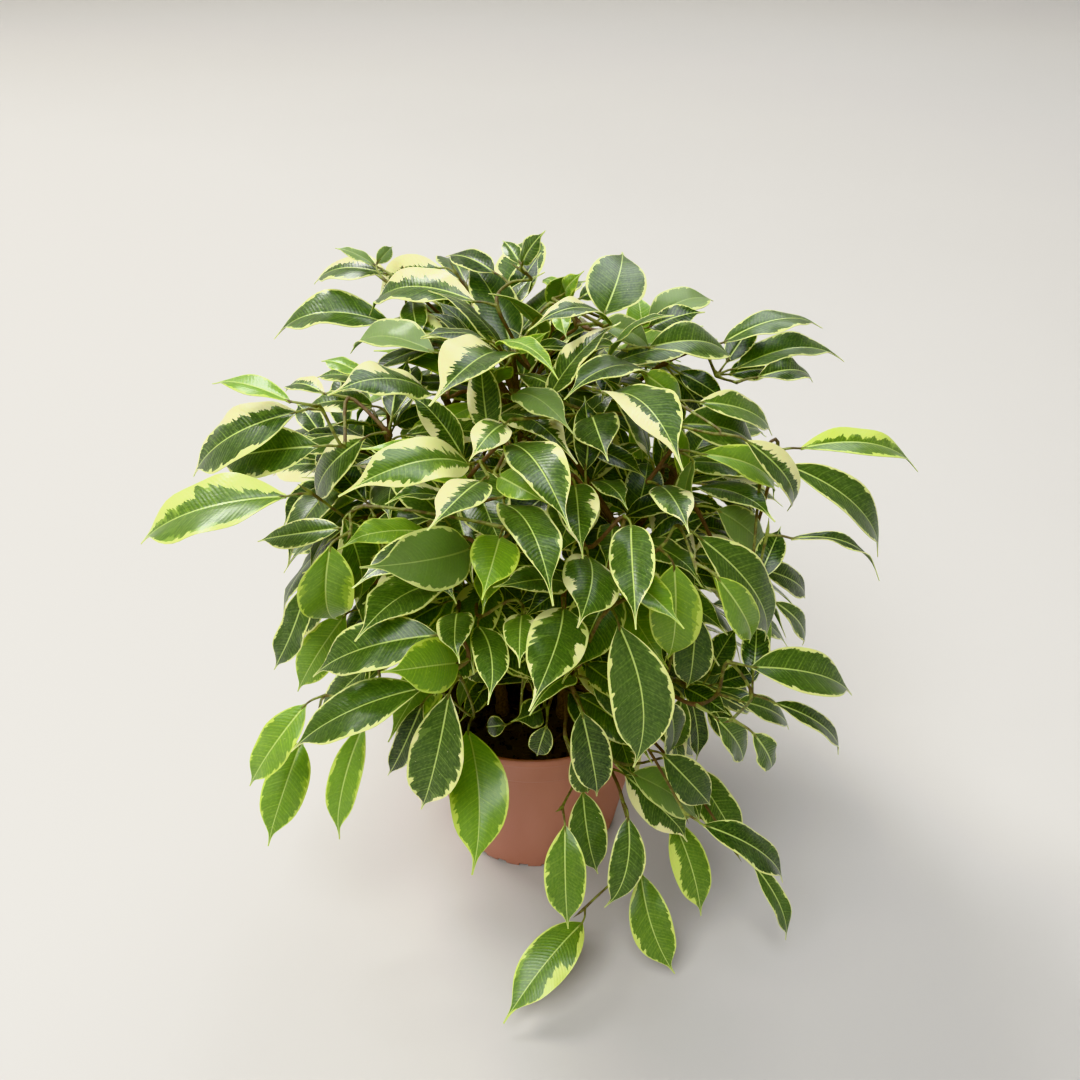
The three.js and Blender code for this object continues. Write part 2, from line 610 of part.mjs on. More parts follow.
function growLeafByRule(shoot, place, direction, draw) {
  const node = shoot.way[place];
  const last = shoot.way.length - 1;
  const twig = unit([shoot.way[last], 1], [shoot.way[last - 1], -1]);
  const sideways = twig.clone().cross(UP).normalize();
  const hand = place % 2 ? 1 : -1;
  const length = LEAF_LENGTH * between(LENGTH_SHARES, draw());
  const width = LEAF_WIDTH * between(WIDTH_SHARES, draw());
  let best = { cost: Infinity };
  for (let trial = 0; trial < LEAF_TRIALS; trial++) {
    const spread = hand * (place < last ? SPREAD_ASIDE : SPREAD_AT_END) + SPREAD_PLAY * (draw() - 0.5);
    const droop = between(DROOPS, draw());
    const along = unit([twig, ONWARDS], [direction, OUTWARDS], [sideways, spread], [UP, -droop]);
    const facing = unit([UP, FACING_UP], [direction, FACING_OUT], [sideways, FACING_PLAY * (draw() - 0.5)]);
    const base = node.clone().addScaledVector(unit([along, 1], [UP, PETIOLE_RISE]), PETIOLE_LENGTH);
    const tip = base.clone().addScaledVector(along, length);
    const leaf = makeLeaf(node, base, tip, facing, width, RINGS_BY_RULE);
    const blade = cellsOf(pointsOver(leaf));
    const twigCells = cellsOf(pointsAlong([node, base]));
    const seen = insideOutline(pixelOf(tip)) && insideOutline(pixelOf(base)) && tip.z > LOWEST_BY_RULE;
    const cost = costOf(shoot, blade, twigCells) + (seen ? 0 : STRANGER_COST);
    if (cost < best.cost) best = { cost, leaf, blade, twig: twigCells };
  }
  if (best.cost > CROSSINGS_ALLOWED) return;
  shoot.leaves.push({ ...best.leaf, place, blade: best.blade, twig: best.twig });
  for (const c of widened(best.blade)) shoot.blades.add(c);
}

function growPlant() {
  claimPot();
  STEMS.forEach((stem, owner) => {
    const way = stemHeights(stem).slice(1).map((z) => stemPoint(stem, z));
    claim(cellsOf(pointsAlong(way)), owner);
  });
  const shoots = SHOOTS_IN_VIEW.map(({ stem }) => newShoot(stem));
  const apart = SHOOTS_IN_VIEW.flatMap(({ leaves }, i) => growShootInView(shoots[i], leaves));
  shoots.push(...apart.map(growLeafApart));
  for (let i = 0; i < RULE_SHOOTS; i++) shoots.push(growShootByRule(i));
  return shoots.filter(({ leaves }) => leaves.length);
}

// Solids

function manifoldOf(geometry) {
  const bare = geometry.index && !geometry.attributes.normal ? geometry : stripped(geometry);
  const vertProperties = Float32Array.from(bare.attributes.position.array);
  const triVerts = Uint32Array.from(bare.index.array);
  return new wasm.Manifold(new wasm.Mesh({ numProp: 3, vertProperties, triVerts }));
}

function stripped(geometry) {
  geometry.deleteAttribute("normal");
  geometry.deleteAttribute("uv");
  return mergeVertices(geometry, WELD);
}

function geometryOf(manifold) {
  const { vertProperties, triVerts } = manifold.getMesh();
  const geometry = new THREE.BufferGeometry();
  geometry.setAttribute("position", new THREE.BufferAttribute(vertProperties, 3));
  geometry.setIndex(new THREE.BufferAttribute(triVerts, 1));
  geometry.computeVertexNormals();
  return geometry;
}

// A closed solid through rings of points.
function loft(rings) {
  const sides = rings[0].length;
  const last = (rings.length - 1) * sides;
  const index = [];
  for (let r = 0; r + 1 < rings.length; r++) {
    for (let s = 0; s < sides; s++) {
      const a = r * sides + s;
      const b = r * sides + ((s + 1) % sides);
      index.push(a, b, b + sides, a, b + sides, a + sides);
    }
  }
  for (let s = 2; s < sides; s++) index.push(0, s, s - 1, last, last + s - 1, last + s);
  const geometry = new THREE.BufferGeometry().setFromPoints(rings.flat());
  geometry.setIndex(index);
  return manifoldOf(geometry);
}

// The directions along a way and across it at each of its points, turning as little as they can.
function frames(way) {
  let side = way[1].clone().sub(way[0]).cross(ASKEW).normalize();
  return way.map((_, i) => {
    const along = unit([way[Math.min(i + 1, way.length - 1)], 1], [way[Math.max(i - 1, 0)], -1]);
    side = unit([side, 1], [along, -side.dot(along)]);
    return { along, side, up: along.clone().cross(side) };
  });
}

function ringAcross(centre, { side, up }, radius, sides) {
  return Array.from({ length: sides }, (_, s) => {
    const turn = (2 * Math.PI * s) / sides;
    const spoke = unit([side, Math.cos(turn)], [up, Math.sin(turn)]);
    return centre.clone().addScaledVector(spoke, radius);
  });
}

// A round rod along a way, its radius changing evenly from one end to the other.
function rod(way, radii, sides) {
  const across = frames(way);
  const size = (i) => between(radii, i / (way.length - 1));
  return loft(way.map((middle, i) => ringAcross(middle, across[i], size(i), sides)));
}

// A shoot as one closed solid: a three-sided twig, out of which each leaf is drawn at its node.
class ShootShell {
  constructor() {
    this.points = [];
    this.index = [];
  }
  ring(points) {
    this.points.push(...points);
    return points.map((_, i) => this.points.length - points.length + i);
  }
  // Walls between two rings. Where a leaf grows, half of one wall is left open, and its corners returned.
  join(a, b, openSide) {
    let mouth;
    a.forEach((corner, i) => {
      const k = (i + 1) % a.length;
      if (i === openSide) mouth = [corner, a[k], b[k]];
      else this.index.push(corner, a[k], b[k]);
      this.index.push(corner, b[k], b[i]);
    });
    return mouth;
  }
  // The side of a stretch of twig that looks most towards a place.
  sideTowards(a, b, place) {
    const looks = a.map((corner, i) => {
      const [p, q, r] = [corner, a[(i + 1) % 3], b[(i + 1) % 3]].map((n) => this.points[n]);
      const out = q.clone().sub(p).cross(r.clone().sub(p)).normalize();
      return out.dot(place.clone().sub(p).normalize());
    });
    return looks.indexOf(Math.max(...looks));
  }
  // The petiole and the blade. Each ring has the blade's two edges and the underside of its midrib.
  leaf(mouth, leaf) {
    const moved = (p, side, normal) =>
      p.clone().addScaledVector(leaf.side, side).addScaledVector(leaf.normal, normal);
    const petiole = [0, 1, 2].map((i) => {
      const turn = (Math.PI * (1 - 4 * i)) / 6;
      return moved(leaf.base, PETIOLE_RADIUS * Math.cos(turn), PETIOLE_RADIUS * Math.sin(turn));
    });
    const rings = [petiole];
    for (const u of leaf.rings) {
      const rib = moved(leafPoint(leaf, u, 0), 0, -RIB_DEPTH / 2);
      rings.push([leafPoint(leaf, u, 1), rib, leafPoint(leaf, u, -1)]);
    }
    const reach = (n, i, k) => this.points[n].distanceTo(petiole[(i + k) % 3]);
    const stretch = (k) => mouth.reduce((all, n, i) => all + reach(n, i, k), 0);
    const turns = [0, 1, 2].map(stretch);
    const turn = turns.indexOf(Math.min(...turns));
    let last = mouth;
    for (const ring of rings) {
      const next = this.ring([0, 1, 2].map((i) => ring[(i + turn) % 3]));
      this.join(last, next);
      last = next;
    }
    const [tip] = this.ring([leaf.tip]);
    last.forEach((corner, i) => this.index.push(corner, last[(i + 1) % 3], tip));
  }
}

function shootSolid({ way, leaves }) {
  const shell = new ShootShell();
  const across = frames(way);
  let last;
  way.forEach((middle, place) => {
    const size = between([TWIG_RADIUS, TWIG_TIP_RADIUS], place / (way.length - 1));
    const leaf = leaves.find((one) => one.place === place);
    const atEnd = place === way.length - 1;
    const steps = leaf && !atEnd ? [-NODE_HALF, NODE_HALF] : [0];
    steps.forEach((step, i) => {
      const centre = middle.clone().addScaledVector(across[place].along, step);
      const ring = shell.ring(ringAcross(centre, across[place], size, TWIG_SIDES));
      if (!last) shell.index.push(ring[0], ring[2], ring[1]);
      else if (i === 1) shell.leaf(shell.join(last, ring, shell.sideTowards(last, ring, leaf.base)), leaf);
      else shell.join(last, ring);
      last = ring;
    });
    if (atEnd && leaf) shell.leaf(last, leaf);
    else if (atEnd) shell.index.push(...last);
  });
  const geometry = new THREE.BufferGeometry().setFromPoints(shell.points);
  geometry.setIndex(shell.index);
  return manifoldOf(geometry);
}

function stemSolid(stem, owner, shoots) {
  const way = [STEM_FOOT, ...stemHeights(stem)].map((z) => stemPoint(stem, z));
  const own = shoots.filter((shoot) => shoot.owner === owner);
  const pieces = [rod(way, [STEM_RADIUS, STEM_TOP_RADIUS], STEM_SIDES), ...own.map(shootSolid)];
  // What leaves enclose where they cross is filled, because only the outer shell is kept.
  const shells = wasm.Manifold.union(pieces).simplify(SMALLEST_EDGE).decompose();
  return shells.reduce((a, b) => (b.volume() > a.volume() ? b : a));
}

const profile = (points) => points.map(([r, z]) => new THREE.Vector2(r, z));

// A solid turned about the pot's axis. A lathe turns about Y, so it is tipped upright.
function turned(points, sides) {
  return manifoldOf(new THREE.LatheGeometry(profile(points), sides).rotateX(Math.PI / 2));
}

function placed(geometry, turn, x, y, z) {
  return manifoldOf(geometry.translate(x, y, z).rotateZ(turn));
}

function potSolid() {
  const bandFoot = POT_HEIGHT - BAND_HEIGHT;
  const inner = (z) => potRadius(z) - POT_WALL;
  const shell = turned(
    [
      [0, 0],
      [BOSS_RADIUS, 0],
      [BOSS_RADIUS, FLOOR_LIFT],
      [POT_FOOT_RADIUS - FOOT_WIDTH, FLOOR_LIFT],
      [POT_FOOT_RADIUS - FOOT_WIDTH, 0],
      [POT_FOOT_RADIUS, 0],
      [potRadius(bandFoot) - BAND_STEP, bandFoot],
      [potRadius(bandFoot), bandFoot + BAND_STEP],
      [POT_LIP_RADIUS, POT_HEIGHT - POT_WALL / 2],
      [POT_LIP_RADIUS - POT_WALL / 2, POT_HEIGHT],
      [inner(POT_HEIGHT), POT_HEIGHT - POT_WALL / 2],
      [inner(FLOOR_TOP) - POT_WALL, FLOOR_TOP],
      [0, FLOOR_TOP],
    ],
    POT_SIDES,
  );
  const cuts = [];
  for (let i = 0; i < NOTCHES; i++) {
    const block = new THREE.BoxGeometry(3 * FOOT_WIDTH, NOTCH_WIDTH, 2 * NOTCH_HEIGHT);
    cuts.push(placed(block, (2 * Math.PI * (i + 0.5)) / NOTCHES, POT_FOOT_RADIUS, 0, 0));
  }
  for (let i = 0; i < DRAINS; i++) {
    const hole = new THREE.CylinderGeometry(DRAIN_RADIUS, DRAIN_RADIUS, 2 * FLOOR_TOP, DRAIN_SIDES);
    cuts.push(placed(hole.rotateX(Math.PI / 2), (2 * Math.PI * i) / DRAINS, DRAIN_RING, 0, FLOOR_TOP / 2));
  }
  return shell.subtract(wasm.Manifold.union(cuts));
}

function soilSolid() {
  const inner = (z) => potRadius(z) - 2 * POT_WALL - GAP;
  const body = turned(
    [
      [0, FLOOR_TOP + GAP],
      [inner(FLOOR_TOP), FLOOR_TOP + GAP],
      ...SOIL_PROFILE.map(([share, drop]) => [inner(SOIL_TOP) * share, SOIL_TOP - SOIL_RISE * drop]),
      [0, SOIL_TOP],
    ],
    SOIL_SIDES,
  );
  const holes = STEMS.map(({ foot }) => {
    const depth = 2 * (SOIL_TOP - STEM_FOOT + GAP);
    const hole = new THREE.CylinderGeometry(STEM_RADIUS + GAP, STEM_RADIUS + GAP, depth, STEM_SIDES * 2);
    return manifoldOf(hole.rotateX(Math.PI / 2).translate(foot[0], foot[1], SOIL_TOP));
  });
  return body.subtract(wasm.Manifold.union(holes));
}

function named(name, manifold, color, roughness) {
  const material = new THREE.MeshStandardMaterial({ color, roughness, metalness: 0 });
  const mesh = new THREE.Mesh(geometryOf(manifold), material);
  mesh.name = name;
  return mesh;
}

const plant = new THREE.Group();
const shoots = growPlant();
plant.add(named("pot", potSolid(), POT_COLOUR, 0.55));
plant.add(named("soil", soilSolid(), SOIL_COLOUR, 0.95));
STEMS.forEach((stem, owner) => {
  plant.add(named(stem.name, stemSolid(stem, owner, shoots), LEAF_COLOUR, 0.35));
});

export default plant;
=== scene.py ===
"""A weeping fig with cream-edged leaves in a nursery pot."""

import functools
import math

import bmesh
import bpy
import numpy as np
from bpy.props import FloatProperty, FloatVectorProperty, IntProperty, PointerProperty
from bpy.types import Operator, Panel, PropertyGroup
from mathutils import Matrix, Vector, noise


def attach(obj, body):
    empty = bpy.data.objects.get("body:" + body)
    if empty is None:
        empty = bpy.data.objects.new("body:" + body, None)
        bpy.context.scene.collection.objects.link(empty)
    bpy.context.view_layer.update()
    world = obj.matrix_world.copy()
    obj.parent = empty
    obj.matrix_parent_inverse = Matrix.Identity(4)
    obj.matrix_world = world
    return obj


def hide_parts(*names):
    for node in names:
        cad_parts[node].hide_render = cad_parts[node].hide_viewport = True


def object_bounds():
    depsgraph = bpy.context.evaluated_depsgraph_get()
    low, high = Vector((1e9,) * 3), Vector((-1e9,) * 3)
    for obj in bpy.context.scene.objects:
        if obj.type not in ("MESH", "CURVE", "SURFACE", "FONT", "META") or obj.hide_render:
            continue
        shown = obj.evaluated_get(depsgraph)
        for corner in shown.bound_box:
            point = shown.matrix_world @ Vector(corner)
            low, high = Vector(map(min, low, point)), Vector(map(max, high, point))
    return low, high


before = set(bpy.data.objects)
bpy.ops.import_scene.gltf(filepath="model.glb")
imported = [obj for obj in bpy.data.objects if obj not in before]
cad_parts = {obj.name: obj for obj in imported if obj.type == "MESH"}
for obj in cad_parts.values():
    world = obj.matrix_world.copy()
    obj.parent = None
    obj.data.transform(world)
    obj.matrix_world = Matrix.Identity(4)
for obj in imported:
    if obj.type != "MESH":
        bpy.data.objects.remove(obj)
FRAME_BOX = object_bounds()

bl_info = {
    "name": "Potted weeping fig",
    "version": (1, 0, 0),
    "blender": (4, 5, 0),
    "location": "3D view > Sidebar > Fig",
    "description": "Grows a weeping fig over its solids and pots it",
    "category": "Add Mesh",
}

# Sizes and rules of the solids, in millimetres, so that every piece lies where its solid does.
MM = 0.001
POT_HEIGHT = 92
POT_LIP_RADIUS = 60
POT_FOOT_RADIUS = 43
POT_WALL = 1.8
BAND_HEIGHT = 17
BAND_STEP = 0.9
FLOOR_LIFT = 3
FLOOR_TOP = 5
FOOT_WIDTH = 4.5
BOSS_RADIUS = 12
NOTCHES = 24
NOTCH_WIDTH = 4.5
NOTCH_HEIGHT = 2.2
DRAINS = 6
DRAIN_RADIUS = 4
DRAIN_RING = 25
GAP = 0.3
SOIL_TOP = 81
SOIL_RISE = 3.5
STEM_FOOT = 62
STEM_RADIUS = 3.1
STEM_TOP_RADIUS = 1.5

# Stems: the node each replaces, where it leaves the soil and where it ends in the crown.
STEMS = (
    ("leafy_stem_centre", (-1, 3), (-6, 10, 232)),
    ("leafy_stem_front_left", (-15, -15), (-46, -42, 196)),
    ("leafy_stem_front_right", (14, -17), (44, -46, 192)),
    ("leafy_stem_right", (23, 2), (64, 2, 206)),
    ("leafy_stem_back_right", (14, 20), (38, 52, 212)),
    ("leafy_stem_back_left", (-13, 21), (-40, 50, 214)),
    ("leafy_stem_left", (-23, 3), (-62, -2, 206)),
)

# Crown: the rounded surface that most leaves grow out of, its dome above, a deeper skirt below.
CROWN_CENTRE = np.array([0.0, 0.0, 175.0])
CROWN_RADII = np.array([114.0, 102.0, 106.0])
SKIRT_RADII = np.array([114.0, 102.0, 150.0])

# Leaf of the solids: places along the midrib, and the half width there as a share of the widest.
OUTLINE_PLACES = (0, 0.05, 0.14, 0.28, 0.42, 0.56, 0.7, 0.8, 0.88, 0.95, 1)
OUTLINE_SHARES = (0.06, 0.36, 0.7, 0.95, 1, 0.91, 0.66, 0.38, 0.16, 0.07, 0)
LEAF_LENGTH = 48
LEAF_WIDTH = 19
LEAF_ARCH = 0.1
LEAF_FOLD = 0.1
PETIOLE_LENGTH = 9

# Viewpoint: its place, how far it looks down and to the right, its focal length in pixels.
EYE = np.array([0.0, -395.0, 443.0])
LOOK_DOWN = math.radians(34.7)
LOOK_RIGHT = math.radians(0.43)
FOCAL_PX = 1080
CENTRE_PX = 540

# Shoots in view: the stem, then its leaves outwards. Each leaf says base x, y and tip x, y in
# pixels, crown layer, length, width, roll in degrees, how far its midrib arches up and sways
# aside as hundredths of its length, and its finish. A roll of 0 faces the viewpoint.
SHOOTS_IN_VIEW = (
    (1, (
        (437, 635, 313, 676, 1.06, 53, 20, 28, 15, 0, "rim"),
        (458, 663, 381, 673, 1.02, 41, 19, 0, 10, 0, "lime"),
        (422, 688, 290, 751, 1.08, 54, 22, 40, 13, -2, "rim"),
        (449, 694, 421, 811, 1.0, 53, 21, 8, 12, -4, "patch"),
        (468, 731, 473, 875, 0.82, 53, 24, -4, 10, -5, "lime"),
        (422, 704, 388, 776, 1.02, 43, 10, 20, 10, -5, "dark"),
    )),
    (1, (
        (471, 548, 362, 568, 1.08, 51, 21, 8, 10, -4, "sheen"),
        (500, 536, 482, 598, 1.12, 34, 16, 0, 10, 0, "lime"),
        (344, 520, 358, 603, 1.06, 46, 20, -34, 12, 0, "patch"),
        (330, 547, 336, 621, 1.12, 41, 20, -6, 14, 9, "lime"),
    )),
    (1, (
        (511, 444, 569, 530, 1.02, 51, 18, -26, 15, 0, "patch"),
        (498, 476, 547, 503, 1.1, 29, 10, -10, 10, 0, "lime"),
        (468, 464, 338, 495, 1.1, 56, 19, 34, 14, 0, "cream"),
        (481, 481, 429, 529, 1.12, 43, 14, 34, 8, -4, "half"),
        (505, 505, 553, 604, 1.08, 53, 18, -34, 15, 0, "rim"),
    )),
    (1, (
        (478, 626, 490, 704, 0.94, 41, 13, -12, 10, -6, "patch"),
        (522, 614, 519, 668, 0.9, 36, 12, 0, 10, 0, "cream"),
        (505, 725, 486, 727, 0.72, 15, 9, 0, 10, 0, "dark"),
    )),
    (6, (
        (364, 438, 318, 504, 1.0, 46, 17, 46, 13, 0, "half"),
        (324, 393, 285, 391, 1.1, 28, 10, 58, 14, 0, "half"),
        (318, 446, 218, 463, 1.16, 53, 19, 18, 10, 0, "patch"),
        (296, 412, 193, 477, 1.26, 54, 24, 48, 13, 0, "half"),
        (290, 401, 211, 382, 1.3, 40, 9, 45, 7, 0, "lime"),
    )),
    (6, (
        (338, 528, 258, 540, 0.96, 43, 12, 30, 8, -3, "rim"),
        (286, 496, 140, 544, 1.3, 61, 26, 45, 15, -4, "gold"),
    )),
    (6, (
        (326, 600, 290, 638, 1.04, 36, 14, 30, 10, 0, "half"),
        (308, 583, 272, 670, 1.06, 46, 12, 25, 8, -7, "rim"),
        (345, 615, 298, 692, 1.08, 47, 17, 10, 10, 0, "lime"),
        (364, 724, 337, 840, 1.05, 50, 13, 10, 8, 4, "lime"),
        (305, 705, 249, 788, 1.12, 48, 16, 22, 10, 0, "lime"),
        (301, 742, 267, 846, 1.15, 49, 19, 5, 10, 0, "lime"),
    )),
    (0, (
        (431, 394, 328, 392, 1.0, 51, 18, 52, 12, 0, "half"),
        (434, 352, 350, 354, 0.98, 46, 18, 56, 18, 0, "sage"),
        (392, 325, 273, 338, 1.06, 55, 21, 50, 20, 0, "rim"),
        (387, 274, 314, 284, 1.0, 43, 16, 56, 14, 0, "half"),
    )),
    (0, (
        (503, 355, 429, 405, 1.0, 50, 24, 46, 17, -8, "half"),
        (512, 352, 463, 259, 1.02, 51, 18, 12, 10, 6, "glossy"),
        (496, 343, 560, 379, 1.1, 36, 9, -52, 14, 0, "lime"),
        (474, 301, 368, 312, 1.0, 56, 20, 52, 18, 0, "half"),
        (440, 268, 378, 302, 1.0, 38, 18, 40, 16, 0, "half"),
        (494, 272, 446, 256, 0.96, 30, 12, 45, 10, 0, "dark"),
        (521, 264, 503, 240, 1.0, 17, 7, 20, 8, 0, "rim"),
        (522, 264, 545, 231, 1.0, 20, 8, -30, 8, 0, "rim"),
    )),
    (0, (
        (564, 293, 542, 279, 0.96, 22, 7, 40, 10, 0, "lime"),
        (604, 314, 622, 251, 1.0, 46, 24, 0, 8, 2, "rim"),
        (611, 323, 527, 329, 1.02, 48, 11, 58, 15, 0, "half"),
        (565, 293, 583, 272, 0.98, 22, 7, -30, 10, 0, "lime"),
        (648, 322, 714, 301, 1.0, 41, 18, -48, 14, 0, "sage"),
        (650, 347, 731, 361, 1.06, 46, 18, -50, 16, 0, "rim"),
    )),
    (2, (
        (514, 394, 573, 433, 0.92, 39, 13, -34, 14, 0, "sage"),
        (592, 416, 608, 461, 0.9, 34, 17, 0, 10, 0, "dark"),
        (494, 418, 577, 464, 1.0, 49, 18, -44, 18, 0, "half"),
        (505, 424, 470, 460, 1.06, 31, 12, 20, 10, 0, "cream"),
        (606, 394, 683, 469, 1.04, 54, 21, -44, 17, 0, "half"),
        (646, 371, 563, 398, 1.0, 48, 17, 56, 13, 0, "glossy"),
        (643, 373, 682, 410, 1.1, 31, 12, -24, 10, 0, "lime"),
        (633, 420, 643, 462, 0.98, 28, 9, -20, 10, 0, "lime"),
    )),
    (2, (
        (575, 485, 581, 558, 0.94, 41, 15, 0, 10, 0, "patch"),
        (588, 556, 577, 626, 1.06, 39, 20, -16, 10, -4, "patch"),
        (631, 525, 637, 628, 1.0, 48, 15, 0, 10, 0, "rim"),
        (620, 581, 683, 629, 1.14, 38, 14, -34, 14, 0, "lime"),
        (674, 566, 667, 661, 1.08, 48, 19, 0, 10, -4, "lime"),
        (699, 537, 766, 640, 1.12, 58, 20, -38, 16, 0, "rim"),
        (717, 577, 751, 642, 1.2, 41, 13, -30, 12, 0, "lime"),
    )),
    (2, (
        (563, 608, 529, 709, 1.0, 49, 20, 8, 10, -4, "patch"),
        (574, 676, 529, 715, 0.98, 36, 11, 45, 10, 0, "rim"),
        (619, 626, 633, 768, 1.18, 56, 22, 0, 8, -9, "rim"),
        (696, 615, 688, 689, 1.02, 41, 15, -6, 10, 0, "glossy"),
        (682, 696, 674, 750, 0.98, 36, 11, 0, 10, 0, "rim"),
        (689, 691, 696, 762, 0.96, 41, 10, -30, 10, 0, "dark"),
    )),
    (2, (
        (582, 713, 598, 798, 0.98, 44, 16, -6, 10, 0, "dark"),
        (633, 774, 698, 822, 1.0, 43, 18, -30, 12, 0, "sage"),
        (692, 768, 744, 856, 1.05, 48, 19, -28, 12, 3, "rim"),
        (672, 818, 701, 917, 1.1, 48, 17, -14, 10, -2, "spring"),
        (704, 825, 784, 881, 1.2, 48, 15, -38, 15, 0, "dark"),
        (753, 864, 787, 941, 1.3, 46, 10, -34, 10, -3, "rim"),
    )),
    (2, (
        (574, 755, 588, 794, 0.95, 29, 12, -10, 10, 0, "rim"),
        (583, 793, 599, 875, 1.0, 44, 17, -8, 10, 4, "rim"),
        (565, 826, 568, 929, 1.1, 44, 17, 0, 10, 2, "spring"),
    )),
    (2, (
        (628, 818, 606, 908, 1.1, 43, 15, -8, 10, -8, "rim"),
        (641, 874, 675, 974, 1.2, 48, 19, -6, 8, 7, "spring"),
        (582, 923, 504, 1024, 1.3, 51, 21, 14, 10, 0, "spring"),
    )),
    (2, (
        (546, 727, 537, 757, 0.8, 20, 10, 0, 10, 0, "dark"),
        (541, 709, 512, 722, 0.7, 24, 12, 0, 10, 0, "dark"),
    )),
    (3, (
        (660, 486, 690, 532, 0.96, 36, 14, -30, 10, 0, "patch"),
        (693, 461, 690, 532, 0.98, 41, 9, 50, 10, 0, "sage"),
        (702, 454, 775, 498, 1.1, 49, 14, -48, 16, 0, "lime"),
        (681, 424, 756, 457, 1.02, 49, 19, -44, 16, 0, "rim"),
        (747, 441, 790, 512, 1.1, 47, 13, -46, 16, 0, "half"),
        (700, 402, 773, 433, 1.04, 43, 14, -48, 12, 0, "cream"),
    )),
    (3, (
        (718, 510, 766, 555, 1.0, 39, 15, -30, 10, 0, "sage"),
        (761, 569, 806, 597, 1.0, 38, 13, -40, 12, 0, "dark"),
        (801, 448, 918, 469, 1.24, 57, 15, -50, 15, 0, "gold"),
        (787, 465, 881, 556, 1.2, 62, 18, -48, 15, 0, "rim"),
        (775, 602, 803, 645, 1.06, 38, 9, -48, 12, 0, "rim"),
        (792, 538, 881, 579, 1.14, 48, 7, -66, 16, 0, "dark"),
    )),
    (3, (
        (716, 718, 742, 762, 1.1, 36, 12, -34, 10, 0, "rim"),
        (740, 701, 789, 729, 1.14, 38, 11, -44, 12, 0, "rim"),
        (752, 667, 852, 694, 1.22, 51, 19, -34, 14, 0, "rim"),
        (775, 703, 841, 755, 1.26, 48, 10, -50, 13, 0, "dark"),
        (754, 734, 770, 771, 1.24, 31, 10, -34, 10, 0, "rim"),
    )),
    (4, (
        (724, 342, 822, 325, 1.06, 51, 15, -54, 13, 0, "rim"),
        (737, 368, 845, 362, 1.12, 54, 17, -54, 17, 0, "rim"),
        (758, 377, 813, 381, 1.04, 39, 12, -48, 14, 0, "dark"),
    )),
    (0, (
        (444, 338, 394, 318, 0.94, 28, 12, 40, 12, 0, "cream"),
        (376, 266, 335, 248, 1.0, 19, 6, 45, 10, 0, "sage"),
        (377, 263, 393, 246, 1.0, 12, 6, 0, 8, 0, "sage"),
    )),
    (0, (
        (600, 325, 651, 352, 1.04, 27, 14, -48, 16, 0, "sage"),
        (559, 309, 566, 338, 1.06, 15, 7, 0, 8, 0, "lime"),
        (516, 352, 550, 331, 1.06, 20, 5, 0, 10, 0, "lime"),
    )),
    (6, (
        (362, 374, 321, 361, 1.0, 20, 8, 45, 10, 0, "lime"),
    )),
)

# The crown's outline in pixels, clockwise from the top left. Leaves placed by rule stay inside it.
CROWN_OUTLINE = (
    (345, 250), (450, 240), (545, 236), (640, 258), (712, 300), (800, 325), (800, 420), (790, 500),
    (800, 600), (800, 690), (770, 760), (700, 850), (600, 800), (600, 700), (500, 690), (430, 760),
    (330, 790), (280, 730), (276, 640), (262, 545), (300, 500), (225, 450), (300, 400), (320, 330),
)

# Growth of the shoots in view.
STEM_STEPS = 5
ARCH_STEPS = 5
SHOOT_RISE = 0.5
SHOOT_LOWEST = 102
SHOOT_BELOW_TOP = 4
LAYER_SHIFTS = (0, -0.04, 0.04, -0.08, 0.08, -0.12, 0.12, -0.17, 0.17, -0.22, -0.28)
TWIG_ARCHES = (0.16, 0.3, 0.04, 0.44, -0.08)
STRANGER_COST = 10000
OWN_COST = 1000
PETIOLE_WAY = (0.45, 0.6, 0.3)
ROOT_PULL = 0.5

# Growth by rule.
RULE_SHOOTS = 134
RULE_SPAN = 1.5
GOLDEN_ANGLE = 2.399963
SEED_START = 777
SEED_STEP = 7919
FRONT_SHARE = 0.35
FRONT_LAYER = 0.42
BACK_LAYER = 0.6
LAYER_SPREAD = 0.3
LEAF_TRIALS = 14
LENGTH_SHARES = (0.8, 1.1)
WIDTH_SHARES = (0.85, 1.15)
SPREAD_ASIDE = 0.9
SPREAD_AT_END = 0.25
SPREAD_PLAY = 0.5
DROOPS = (0.15, 0.95)
ONWARDS = 0.5
OUTWARDS = 0.4
FACING_UP = 0.8
FACING_OUT = 0.6
FACING_PLAY = 0.5
PETIOLE_RISE = 0.5
LOWEST_BY_RULE = 60
CROSSINGS_ALLOWED = 1
FEWEST_LEAVES = 3

# Small leaves inside the crown: their sizes and how they spread.
SMALL_LENGTHS = (24, 44)
SMALL_WIDTH = 0.4
SMALL_TRIALS = 16
SMALL_OUT = 0.7
SMALL_AROUND = 0.75
SMALL_DROOPS = (-0.2, 0.9)
SMALL_PETIOLE = PETIOLE_LENGTH * 0.8
SMALL_SEED = 4021
SMALL_CENTRE = CROWN_CENTRE * 0.8
STEM_LEAF_LOWEST = 96
STEM_LEAF_STEP = 6

# Gaps through the crown, in pixels, that are closed with leaves deep in the shade, darkened by
# painted shade.
GAPS_IN_VIEW = (
    (733, 353), (745, 373), (584, 296), (688, 378), (690, 397), (674, 410), (468, 357), (725, 648),
    (738, 678), (728, 502), (713, 709), (698, 696), (768, 557), (405, 422), (417, 629), (375, 433),
    (755, 646), (675, 346), (663, 323), (520, 287), (302, 505), (309, 419), (667, 471), (652, 496),
)
GAP_REACH = (8, 21)
GAP_SLANTS = (0, 0.45, -0.45, 0.9)
GAP_WIDTH = 0.46
GAP_DEPTH = 30
GAP_CROSSINGS = 5
GAP_CROSSING_COST = 8

